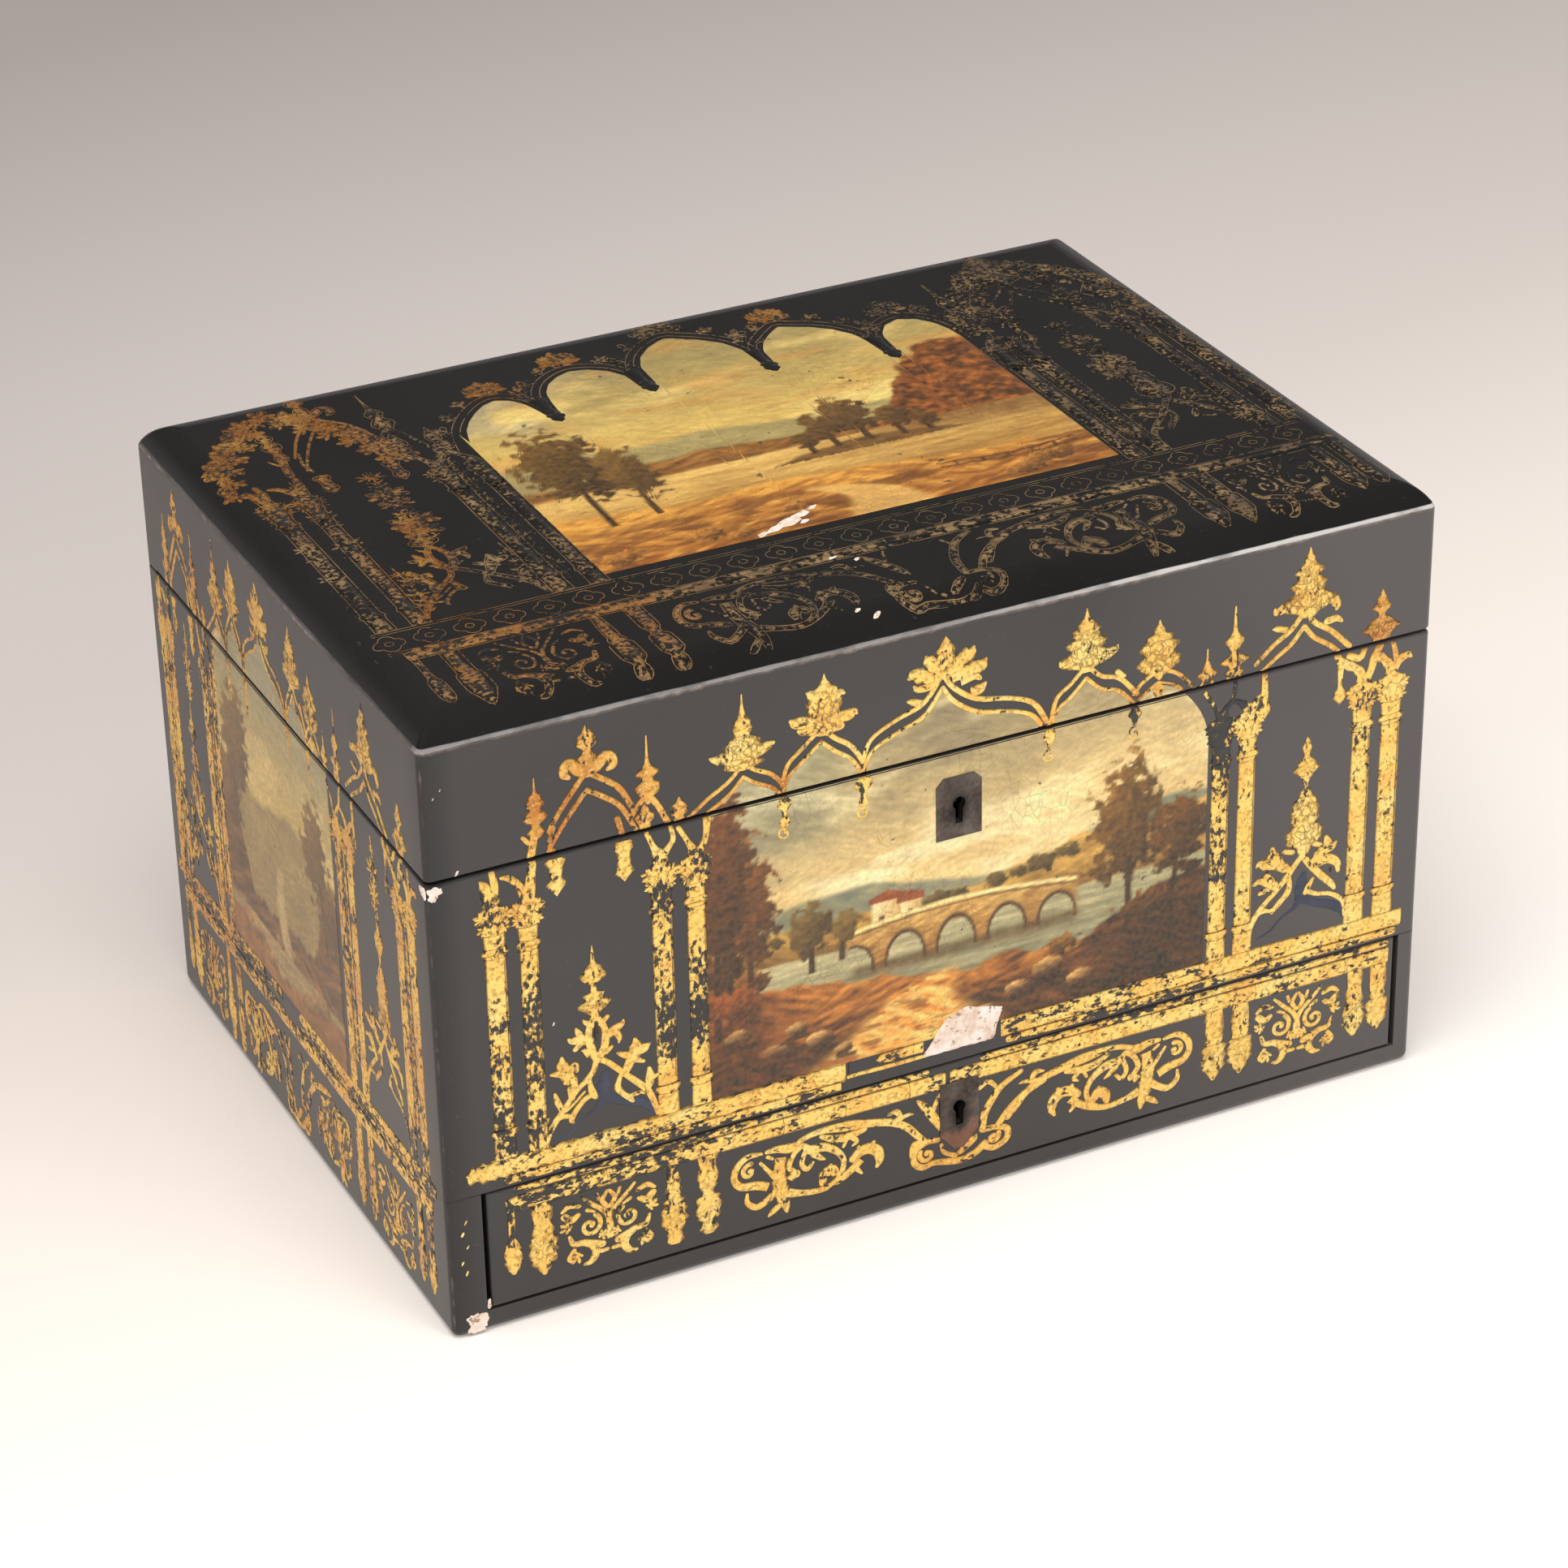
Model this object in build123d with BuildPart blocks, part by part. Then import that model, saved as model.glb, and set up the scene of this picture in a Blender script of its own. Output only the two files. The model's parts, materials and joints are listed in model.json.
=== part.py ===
"""Black lacquered sewing box: a hinged lid with a padded lining, a well with a lift-out
tray, and a drawer in the base. Each has its own lock.

Millimetres. +X is the right-hand side, -Y the front with both keyholes, +Z is up.
The origin is the middle of the flat underside."""

import os

from build123d import *

os.makedirs("parts", exist_ok=True)

# Outside of the box
width = 300.0
depth = 209.5
height = 185.0
seam_height = 140.5  # middle of the seam between body and lid
seam_gap = 0.8
section_height = 44.0  # top of the drawer section, where the well boards start
corner_radius = 2.0
arris_radius = 0.8  # outer edges beside the seam and round the drawer front

# Boards
wall = 8.0
base_thickness = 6.8
base_round = 3.0
left_stile = 10.0
right_stile = 5.6
lower_back_thickness = 7.0
well_floor_thickness = 4.0
well_floor_rebate = 2.5
panel_thickness = 12.0
shoulder_rise = 7.0
shoulder_run = 11.0

# Drawer
drawer_side_gap = 1.4
drawer_top_gap = 0.4
drawer_bottom_gap = 0.5
drawer_back_gap = 1.5
drawer_front_thickness = 9.0
drawer_side_thickness = 6.0
drawer_side_drop = 1.0  # the sides stop this far below the top of the front
drawer_back_thickness = 6.0
drawer_floor_thickness = 3.0
drawer_floor_lift = 2.5  # underside of the floor above the lower edge of the sides
drawer_groove = 2.5

# Keyholes and their escutcheons, both a little right of the middle
lock_x = 2.3
lid_eye_drop = 15.4  # middle of the eye below the top of the well
drawer_eye_drop = 14.7  # middle of the eye below the top of the drawer
keyhole_eye_radius = 1.9
keyhole_slot_width = 2.2
keyhole_slot_drop = 6.0  # from the middle of the eye to the foot of the slot
escutcheon_thickness = 1.0
escutcheon_proud = 0.3
escutcheon_clearance = 0.05
lid_escutcheon_width = 13.7
lid_escutcheon_height = 18.7
lid_escutcheon_shift = 1.0  # its middle below the middle of the eye
lid_escutcheon_cut = 2.3  # the cut-off top corners
drawer_escutcheon_width = 12.0
drawer_escutcheon_rise = 8.4  # its top above the middle of the eye
drawer_escutcheon_side_drop = 8.4  # foot of its upright sides below the middle of the eye
drawer_escutcheon_drop = 13.7  # its lower end below the middle of the eye
drawer_escutcheon_foot_width = 3.0

# Locks: thin metal cases let into the wood, with a key pin and a bolt
case_depth = 6.0
case_wall = 0.8
case_clearance = 0.1
key_pin_radius = 0.8
lid_case_width = 38.0
lid_case_height = 26.0
drawer_case_width = 30.0
drawer_case_height = 25.0
drawer_bolt_width = 10.0
drawer_bolt_thickness = 2.0
drawer_bolt_length = 10.0
drawer_bolt_travel = 5.0
bolt_clearance = 0.4

# Link plate under the lid, with two hooks that the lid bolt catches
link_length = 46.0
link_width = 6.0
link_thickness = 1.2
hook_spacing = 18.0
hook_shank = 2.5
hook_reach = 3.0
hook_thickness = 2.0
hook_foot = 2.0
hook_length = 9.0
hook_clearance = 0.4
lid_bolt_travel = 3.2
lid_bolt_stand_off = 0.5  # from the tip of a hook to the drawn bolt
lug_width = 3.0
lug_height = 3.0
bolt_strip_thickness = 1.4
bolt_tail_width = 8.0
bolt_tail_length = 5.0

# Butt hinges at the back
hinge_inset = 60.0  # middle of a hinge from the end of the box
hinge_length = 40.0
hinge_axis_offset = 2.3  # behind the back face
knuckle_radius = 2.0
knuckle_count = 5
knuckle_gap = 0.3
hinge_pin_radius = 0.9
hinge_pin_clearance = 0.05
hinge_head_radius = 1.4
hinge_head_length = 0.8
leaf_thickness = 1.2
leaf_width = 6.5
leaf_clearance = 0.1

# Countersunk screws
screw_radius = 0.9
screw_head_radius = 2.0
screw_length = 7.0
screw_clearance = 0.05
hinge_screw_pitch = 13.0
link_screw_spacing = 36.0

# Lift-out tray and what holds it
tray_clearance = 0.6
tray_drop = 2.0  # rim below the top of the well
tray_height = 32.0
tray_wall = 4.0
tray_floor_thickness = 3.0
partition_thickness = 3.0
partition_drop = 2.0
long_partition_x = 50.0
side_partition_y = 31.0
middle_partition_y = 36.0
ledge_width = 6.0
ledge_height = 6.0
tab_width = 14.0
tab_thickness = 0.8
tab_stand = 3.0
tab_length = 20.0
pincushion_clearance = 0.4
pincushion_stand = 4.0  # crown above the tray's rim
pincushion_round = 10.0

# Padded lining inside the lid
padding_thickness = 8.0
padding_clearance = 0.3
padding_round = 3.0

# Faces that the pieces share
left_x, right_x = -width / 2, width / 2
front_y, back_y = -depth / 2, depth / 2
well_left, well_right = left_x + wall, right_x - wall
well_front, well_back = front_y + wall, back_y - wall
body_top = seam_height - seam_gap / 2
lid_bottom = seam_height + seam_gap / 2
lid_edge = height - shoulder_rise
lid_ceiling = height - panel_thickness
well_floor_top = section_height + well_floor_thickness
bay_left, bay_right = left_x + left_stile, right_x - right_stile
bay_back = back_y - lower_back_thickness
drawer_top = section_height - drawer_top_gap
lid_eye_height = body_top - lid_eye_drop
lid_escutcheon_middle = lid_eye_height - lid_escutcheon_shift
drawer_eye_height = drawer_top - drawer_eye_drop
hinge_axis_y = back_y + hinge_axis_offset
hinge_middles = (left_x + hinge_inset, right_x - hinge_inset)
face_plane = Plane.XZ.offset(-front_y)


def block(x, y, z, mode=Mode.ADD):
    """Adds to the open part a block between two faces each way."""
    with Locations(((x[0] + x[1]) / 2, (y[0] + y[1]) / 2, (z[0] + z[1]) / 2)):
        Box(x[1] - x[0], y[1] - y[0], z[1] - z[0], mode=mode)


def around(middle, size, spare=0.0):
    """The two faces of something of this size about its middle, with spare room each side."""
    return middle - size / 2 - spare, middle + size / 2 + spare


def keyhole(eye_height, mode=Mode.ADD):
    """Draws in the open sketch a round eye with a straight slot below it."""
    with Locations((lock_x, eye_height)):
        Circle(keyhole_eye_radius, mode=mode)
    with Locations((lock_x, eye_height - keyhole_slot_drop / 2)):
        Rectangle(keyhole_slot_width, keyhole_slot_drop, mode=mode)


def shield(spare=0.0):
    """Draws in the open sketch the drawer's escutcheon, a shield with a narrow foot."""
    half = drawer_escutcheon_width / 2 + spare
    foot = drawer_escutcheon_foot_width / 2 + spare
    top = drawer_eye_height + drawer_escutcheon_rise + spare
    shoulder = drawer_eye_height - drawer_escutcheon_side_drop
    base = drawer_eye_height - drawer_escutcheon_drop - spare
    Polygon(
        (lock_x - foot, base),
        (lock_x + foot, base),
        (lock_x + half, shoulder),
        (lock_x + half, top),
        (lock_x - half, top),
        (lock_x - half, shoulder),
        align=None,
    )


def eased_board(plain_face, edge, face, run):
    """A board of the box's full size whose sides curve in by run between edge and face."""
    with BuildPart() as board:
        for plane, across, along, how in (
            (Plane.XZ, width, depth, Mode.ADD),
            (Plane.YZ, depth, width, Mode.INTERSECT),
        ):
            with BuildSketch(plane):
                with BuildLine():
                    Polyline((0, plain_face), (across / 2, plain_face), (across / 2, edge))
                    TangentArc((across / 2 - run, face), (across / 2, edge), tangent=(1, 0))
                    Line((across / 2 - run, face), (0, face))
                    mirror(about=Plane.YZ)
                make_face()
            extrude(amount=along / 2, both=True, mode=how)
        corner_edges = board.edges().filter_by(
            lambda e: abs(e.center().X) > width / 2 - run and abs(e.center().Y) > depth / 2 - run
        )
        fillet(corner_edges, corner_radius)
    return board.part


def side_edges(part, sign):
    """The upright outer corners of a board at the left (-1) or right (+1) end."""
    return part.edges().filter_by(Axis.Z).group_by(Axis.X)[0 if sign < 0 else -1]


# Drawer section: base board, two cheeks that show as stiles, and a low back
with BuildPart() as base_board:
    add(eased_board(base_thickness, base_round, 0.0, base_round))
base_board.part.label = "base_board"
export_step(base_board.part, "parts/base_board.step")

for name, cheek_x, sign in (
    ("left_cheek", (left_x, bay_left), -1),
    ("right_cheek", (bay_right, right_x), 1),
):
    with BuildPart() as cheek:
        block(cheek_x, (front_y, back_y), (base_thickness, section_height))
        fillet(side_edges(cheek, sign), corner_radius)
    cheek.part.label = name
    export_step(cheek.part, f"parts/{name}.step")

with BuildPart() as lower_back:
    block((bay_left, bay_right), (bay_back, back_y), (base_thickness, section_height))
lower_back.part.label = "lower_back"
export_step(lower_back.part, "parts/lower_back.step")

# Well floor, let into a rebate at both ends and the back, and butted to the front
with BuildPart() as well_floor:
    block(
        (well_left - well_floor_rebate, well_right + well_floor_rebate),
        (well_front, well_back + well_floor_rebate),
        (section_height, well_floor_top),
    )
well_floor.part.label = "well_floor"
export_step(well_floor.part, "parts/well_floor.step")

# Front of the well, with the mortises of both locks and the keyhole
lid_case_x = around(lock_x, lid_case_width)
lid_case_y = (well_front - case_depth, well_front)
lid_case_z = (body_top - lid_case_height, body_top)
drawer_front_back = front_y + drawer_front_thickness
drawer_bolt_y = drawer_front_back - case_depth / 2
with BuildPart() as body_front:
    block((left_x, right_x), (front_y, well_front), (section_height, body_top))
    fillet(body_front.edges().filter_by(Axis.Z).group_by(Axis.Y)[0], corner_radius)
    outer = body_front.faces().sort_by(Axis.Z)[-1].edges().group_by(Axis.Y)[:-1]
    fillet([edge for row in outer for edge in row], arris_radius)
    block(
        around(lock_x, lid_case_width, case_clearance),
        (lid_case_y[0] - case_clearance, well_front),
        (lid_case_z[0] - case_clearance, body_top),
        mode=Mode.SUBTRACT,
    )
    with BuildSketch(face_plane):
        keyhole(lid_eye_height)
    extrude(amount=-wall, mode=Mode.SUBTRACT)
    with BuildSketch(face_plane):
        with Locations((lock_x, lid_escutcheon_middle)):
            Rectangle(
                lid_escutcheon_width + 2 * escutcheon_clearance,
                lid_escutcheon_height + 2 * escutcheon_clearance,
            )
    extrude(amount=escutcheon_proud - escutcheon_thickness, mode=Mode.SUBTRACT)
    block(
        around(lock_x, drawer_bolt_width, bolt_clearance),
        around(drawer_bolt_y, drawer_bolt_thickness, bolt_clearance),
        (section_height, section_height + drawer_bolt_travel + bolt_clearance),
        mode=Mode.SUBTRACT,
    )
body_front.part.label = "body_front"
export_step(body_front.part, "parts/body_front.step")

# Back of the well, with the floor's rebate and the hinge mortises
leaf_y = (back_y - leaf_width, back_y)
screw_y = back_y - leaf_width / 2
hinge_screws = [
    (middle + step * hinge_screw_pitch, screw_y) for middle in hinge_middles for step in (-1, 0, 1)
]
with BuildPart() as body_back:
    block((left_x, right_x), (well_back, back_y), (section_height, body_top))
    fillet(body_back.edges().filter_by(Axis.Z).group_by(Axis.Y)[-1], corner_radius)
    block(
        (well_left - well_floor_rebate, well_right + well_floor_rebate),
        (well_back, well_back + well_floor_rebate),
        (section_height, well_floor_top),
        mode=Mode.SUBTRACT,
    )
    for middle in hinge_middles:
        block(
            around(middle, hinge_length, leaf_clearance),
            (leaf_y[0] - leaf_clearance, back_y),
            (body_top - leaf_thickness, body_top),
            mode=Mode.SUBTRACT,
        )
    with BuildSketch(Plane.XY.offset(body_top)):
        with Locations(*hinge_screws):
            Circle(screw_radius + screw_clearance)
    extrude(amount=-screw_length - screw_clearance, mode=Mode.SUBTRACT)
body_back.part.label = "body_back"
export_step(body_back.part, "parts/body_back.step")

for name, board_x, inner, sign in (
    ("body_left_side", (left_x, well_left), well_left, -1),
    ("body_right_side", (well_right, right_x), well_right, 1),
):
    with BuildPart() as body_side:
        block(board_x, (well_front, well_back), (section_height, body_top))
        top_edges = body_side.faces().sort_by(Axis.Z)[-1].edges()
        fillet(top_edges.filter_by(Axis.Y).sort_by(Axis.X)[0 if sign < 0 else -1], arris_radius)
        block(
            sorted((inner, inner + sign * well_floor_rebate)),
            (well_front, well_back),
            (section_height, well_floor_top),
            mode=Mode.SUBTRACT,
        )
    body_side.part.label = name
    export_step(body_side.part, f"parts/{name}.step")

# Ledges that the tray rests on, one glued along each end of the well
tray_rim = body_top - tray_drop
tray_base = tray_rim - tray_height
with BuildPart() as tray_ledges:
    for ledge_x in (
        (well_left, well_left + ledge_width),
        (well_right - ledge_width, well_right),
    ):
        block(ledge_x, (well_front, well_back), (tray_base - ledge_height, tray_base))
tray_ledges.part.label = "tray_ledges"
export_step(tray_ledges.part, "parts/tray_ledges.step")

# Escutcheon plates, let into the wood and standing a little proud
with BuildPart() as lid_escutcheon:
    with BuildSketch(face_plane.offset(escutcheon_proud)):
        with Locations((lock_x, lid_escutcheon_middle)):
            Rectangle(lid_escutcheon_width, lid_escutcheon_height)
        keyhole(lid_eye_height, mode=Mode.SUBTRACT)
    extrude(amount=-escutcheon_thickness)
    corners = lid_escutcheon.edges().filter_by(Axis.Y).group_by(Axis.Z)[-1]
    chamfer(corners, lid_escutcheon_cut)
lid_escutcheon.part.label = "lid_escutcheon"
export_step(lid_escutcheon.part, "parts/lid_escutcheon.step")

with BuildPart() as drawer_escutcheon:
    with BuildSketch(face_plane.offset(escutcheon_proud)):
        shield()
        keyhole(drawer_eye_height, mode=Mode.SUBTRACT)
    extrude(amount=-escutcheon_thickness)
drawer_escutcheon.part.label = "drawer_escutcheon"
export_step(drawer_escutcheon.part, "parts/drawer_escutcheon.step")

# Drawer, five boards; the sides are grooved for the floor, which passes under the back
drawer_x = (bay_left + drawer_side_gap, bay_right - drawer_side_gap)
drawer_base = base_thickness + drawer_bottom_gap
drawer_end = bay_back - drawer_back_gap
drawer_side_top = drawer_top - drawer_side_drop
drawer_inside = (drawer_x[0] + drawer_side_thickness, drawer_x[1] - drawer_side_thickness)
drawer_floor_z = (
    drawer_base + drawer_floor_lift,
    drawer_base + drawer_floor_lift + drawer_floor_thickness,
)
drawer_case_x = around(lock_x, drawer_case_width)
drawer_case_y = (drawer_front_back - case_depth, drawer_front_back)
drawer_case_z = (drawer_top - drawer_case_height, drawer_top)
with BuildPart() as drawer_front:
    block(drawer_x, (front_y, drawer_front_back), (drawer_base, drawer_top))
    fillet(drawer_front.faces().sort_by(Axis.Y)[0].edges(), arris_radius)
    block(
        around(lock_x, drawer_case_width, case_clearance),
        (drawer_case_y[0] - case_clearance, drawer_front_back),
        (drawer_case_z[0] - case_clearance, drawer_top),
        mode=Mode.SUBTRACT,
    )
    block(
        (drawer_inside[0] - drawer_groove, drawer_inside[1] + drawer_groove),
        (drawer_front_back - drawer_groove, drawer_front_back),
        drawer_floor_z,
        mode=Mode.SUBTRACT,
    )
    with BuildSketch(face_plane):
        keyhole(drawer_eye_height)
    extrude(amount=-drawer_front_thickness, mode=Mode.SUBTRACT)
    with BuildSketch(face_plane):
        shield(escutcheon_clearance)
    extrude(amount=escutcheon_proud - escutcheon_thickness, mode=Mode.SUBTRACT)
drawer_front.part.label = "drawer_front"
export_step(drawer_front.part, "parts/drawer_front.step")

for name, side_x, inner, sign in (
    ("drawer_left_side", (drawer_x[0], drawer_inside[0]), drawer_inside[0], -1),
    ("drawer_right_side", (drawer_inside[1], drawer_x[1]), drawer_inside[1], 1),
):
    with BuildPart() as drawer_side:
        block(side_x, (drawer_front_back, drawer_end), (drawer_base, drawer_side_top))
        block(
            sorted((inner, inner + sign * drawer_groove)),
            (drawer_front_back, drawer_end),
            drawer_floor_z,
            mode=Mode.SUBTRACT,
        )
    drawer_side.part.label = name
    export_step(drawer_side.part, f"parts/{name}.step")

with BuildPart() as drawer_back:
    block(
        drawer_inside,
        (drawer_end - drawer_back_thickness, drawer_end),
        (drawer_floor_z[1], drawer_side_top),
    )
drawer_back.part.label = "drawer_back"
export_step(drawer_back.part, "parts/drawer_back.step")

with BuildPart() as drawer_floor:
    block(
        (drawer_inside[0] - drawer_groove, drawer_inside[1] + drawer_groove),
        (drawer_front_back - drawer_groove, drawer_end),
        drawer_floor_z,
    )
drawer_floor.part.label = "drawer_floor"
export_step(drawer_floor.part, "parts/drawer_floor.step")


def lock_case(x, y, z, eye_height):
    """Adds a hollow case with a keyhole in its front and the pin that the key turns on."""
    block(x, y, z)
    inside = [(low + case_wall, high - case_wall) for low, high in (x, y, z)]
    block(*inside, mode=Mode.SUBTRACT)
    with BuildSketch(Plane.XZ.offset(-y[0])) as hole:
        keyhole(eye_height)
    extrude(hole.sketch, amount=-case_wall, mode=Mode.SUBTRACT)
    with BuildSketch(Plane.XZ.offset(-y[1])) as pin:
        with Locations((lock_x, eye_height)):
            Circle(key_pin_radius)
    extrude(pin.sketch, amount=y[1] - y[0])


# Lid lock: case in the body's front, bolt that slides to the left under the hooks
hooks_x = around(lock_x, hook_spacing)
hook_y = around((lid_case_y[0] + case_wall + bolt_clearance + hook_thickness / 2), hook_thickness)
hook_tip = lid_bottom - hook_length
lug_z = (hook_tip + hook_foot + hook_clearance, hook_tip + hook_foot + hook_clearance + lug_height)
foot_end = hook_shank / 2 + hook_reach
with BuildPart() as lid_lock_case:
    lock_case(lid_case_x, lid_case_y, lid_case_z, lid_eye_height)
    for hook_x in hooks_x:
        block(
            (hook_x - hook_shank / 2 - hook_clearance, hook_x + foot_end + hook_clearance),
            (hook_y[0] - hook_clearance, hook_y[1] + hook_clearance),
            (body_top - case_wall, body_top),
            mode=Mode.SUBTRACT,
        )
lid_lock_case.part.label = "lid_lock_case"
export_step(lid_lock_case.part, "parts/lid_lock_case.step")

strip_y = (
    lid_case_y[1] - case_wall - bolt_clearance - bolt_strip_thickness,
    lid_case_y[1] - case_wall - bolt_clearance,
)
with BuildPart() as lid_lock_bolt:
    lug_start = foot_end + lid_bolt_stand_off
    block(
        (hooks_x[0] + lug_start, hooks_x[1] + lug_start + lug_width),
        strip_y,
        lug_z,
    )
    for hook_x in hooks_x:
        block(
            (hook_x + lug_start, hook_x + lug_start + lug_width),
            (hook_y[0], strip_y[0]),
            lug_z,
        )
    block(
        around(lock_x + lug_start, bolt_tail_width),
        strip_y,
        (lug_z[0] - bolt_tail_length, lug_z[0]),
    )
lid_lock_bolt.part.label = "lid_lock_bolt"
export_step(lid_lock_bolt.part, "parts/lid_lock_bolt.step")

# Drawer lock: case in the back of the drawer front, bolt that shoots up into the body
drawer_bolt_x = around(lock_x, drawer_bolt_width)
drawer_bolt_faces = around(drawer_bolt_y, drawer_bolt_thickness)
with BuildPart() as drawer_lock_case:
    lock_case(drawer_case_x, drawer_case_y, drawer_case_z, drawer_eye_height)
    block(
        around(lock_x, drawer_bolt_width, bolt_clearance),
        around(drawer_bolt_y, drawer_bolt_thickness, bolt_clearance),
        (drawer_top - case_wall, drawer_top),
        mode=Mode.SUBTRACT,
    )
drawer_lock_case.part.label = "drawer_lock_case"
export_step(drawer_lock_case.part, "parts/drawer_lock_case.step")

with BuildPart() as drawer_lock_bolt:
    block(drawer_bolt_x, drawer_bolt_faces, (drawer_top - drawer_bolt_length, drawer_top))
drawer_lock_bolt.part.label = "drawer_lock_bolt"
export_step(drawer_lock_bolt.part, "parts/drawer_lock_bolt.step")

# Lid: one thick moulded panel on a frame of four rails
with BuildPart() as lid_panel:
    add(eased_board(lid_ceiling, lid_edge, height, shoulder_run))
lid_panel.part.label = "lid_panel"
export_step(lid_panel.part, "parts/lid_panel.step")

link_x = around(lock_x, link_length)
link_middle_y = sum(hook_y) / 2
link_y = around(link_middle_y, link_width)
link_screws = [(x, link_middle_y) for x in around(lock_x, link_screw_spacing)]
with BuildPart() as lid_front_rail:
    block((left_x, right_x), (front_y, well_front), (lid_bottom, lid_ceiling))
    fillet(lid_front_rail.edges().filter_by(Axis.Z).group_by(Axis.Y)[0], corner_radius)
    outer = lid_front_rail.faces().sort_by(Axis.Z)[0].edges().group_by(Axis.Y)[:-1]
    fillet([edge for row in outer for edge in row], arris_radius)
    block(
        around(lock_x, link_length, leaf_clearance),
        (link_y[0] - leaf_clearance, link_y[1] + leaf_clearance),
        (lid_bottom, lid_bottom + link_thickness),
        mode=Mode.SUBTRACT,
    )
    with BuildSketch(Plane.XY.offset(lid_bottom)):
        with Locations(*link_screws):
            Circle(screw_radius + screw_clearance)
    extrude(amount=screw_length + screw_clearance, mode=Mode.SUBTRACT)
lid_front_rail.part.label = "lid_front_rail"
export_step(lid_front_rail.part, "parts/lid_front_rail.step")

with BuildPart() as lid_back_rail:
    block((left_x, right_x), (well_back, back_y), (lid_bottom, lid_ceiling))
    fillet(lid_back_rail.edges().filter_by(Axis.Z).group_by(Axis.Y)[-1], corner_radius)
    for middle in hinge_middles:
        block(
            around(middle, hinge_length, leaf_clearance),
            (leaf_y[0] - leaf_clearance, back_y),
            (lid_bottom, lid_bottom + leaf_thickness),
            mode=Mode.SUBTRACT,
        )
    with BuildSketch(Plane.XY.offset(lid_bottom)):
        with Locations(*hinge_screws):
            Circle(screw_radius + screw_clearance)
    extrude(amount=screw_length + screw_clearance, mode=Mode.SUBTRACT)
lid_back_rail.part.label = "lid_back_rail"
export_step(lid_back_rail.part, "parts/lid_back_rail.step")

for name, rail_x, sign in (
    ("lid_left_rail", (left_x, well_left), -1),
    ("lid_right_rail", (well_right, right_x), 1),
):
    with BuildPart() as lid_side:
        block(rail_x, (well_front, well_back), (lid_bottom, lid_ceiling))
        lower_edges = lid_side.faces().sort_by(Axis.Z)[0].edges()
        fillet(lower_edges.filter_by(Axis.Y).sort_by(Axis.X)[0 if sign < 0 else -1], arris_radius)
    lid_side.part.label = name
    export_step(lid_side.part, f"parts/{name}.step")

with BuildPart() as lid_padding:
    block(
        (well_left + padding_clearance, well_right - padding_clearance),
        (well_front + padding_clearance, well_back - padding_clearance),
        (lid_ceiling - padding_thickness, lid_ceiling),
    )
    fillet(lid_padding.faces().sort_by(Axis.Z)[0].edges(), padding_round)
lid_padding.part.label = "lid_padding"
export_step(lid_padding.part, "parts/lid_padding.step")


def countersinks(surface, spots, upward):
    """Cuts screw holes with conical mouths through the open part, heads at this surface."""
    plane = Plane.XY.offset(surface) if upward else Plane.XY.offset(surface).rotated((180, 0, 0))
    turned = 1 if upward else -1
    with Locations(plane):
        with Locations(*[(x, turned * y) for x, y in spots]):
            CounterSinkHole(
                radius=screw_radius + screw_clearance,
                counter_sink_radius=screw_head_radius + screw_clearance,
                depth=screw_length,
            )


def screws(surface, spots, point):
    """Adds flat-headed screws with their heads at this surface and points up (1) or down (-1)."""
    head_depth = screw_head_radius - screw_radius
    with BuildSketch(Plane.XZ) as section:
        Polygon(
            (0, 0),
            (screw_head_radius, 0),
            (screw_radius, point * head_depth),
            (screw_radius, point * (screw_length - screw_radius)),
            (0, point * screw_length),
            align=None,
        )
    screw = revolve(section.sketch, axis=Axis.Z, mode=Mode.PRIVATE)
    for x, y in spots:
        add(screw.moved(Location((x, y, surface))))


# Link plate let into the lid's front rail, with its two hooks
with BuildPart() as link_plate:
    block(link_x, link_y, (lid_bottom, lid_bottom + link_thickness))
    countersinks(lid_bottom, link_screws, upward=False)
    for hook_x in hooks_x:
        shank_x = around(hook_x, hook_shank)
        block(shank_x, hook_y, (hook_tip, lid_bottom))
        block((shank_x[1], hook_x + foot_end), hook_y, (hook_tip, hook_tip + hook_foot))
link_plate.part.label = "link_plate"
export_step(link_plate.part, "parts/link_plate.step")

with BuildPart() as link_screw_pair:
    screws(lid_bottom, link_screws, point=1)
link_screw_pair.part.label = "link_screws"
export_step(link_screw_pair.part, "parts/link_screws.step")

# Hinges: each has a leaf on the body with the odd knuckles and one on the lid with the even
knuckle_pitch = hinge_length / knuckle_count


def leaf(middle, face, z, first):
    """Adds a hinge leaf with every second knuckle, counted from the first one given."""
    block(around(middle, hinge_length), leaf_y, z)
    for number in range(first, knuckle_count, 2):
        start = middle - hinge_length / 2 + number * knuckle_pitch
        knuckle_x = (start + knuckle_gap / 2, start + knuckle_pitch - knuckle_gap / 2)
        block(knuckle_x, (back_y, hinge_axis_y), z)
        with BuildSketch(Plane.YZ.offset(knuckle_x[0])) as ring:
            with Locations((hinge_axis_y, seam_height)):
                Circle(knuckle_radius)
        extrude(ring.sketch, amount=knuckle_x[1] - knuckle_x[0])
    with BuildSketch(Plane.YZ.offset(middle)) as bore:
        with Locations((hinge_axis_y, seam_height)):
            Circle(hinge_pin_radius + hinge_pin_clearance)
    extrude(bore.sketch, amount=hinge_length, both=True, mode=Mode.SUBTRACT)
    spots = [(middle + step * hinge_screw_pitch, screw_y) for step in (-1, 0, 1)]
    countersinks(face, spots, upward=face < seam_height)


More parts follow.
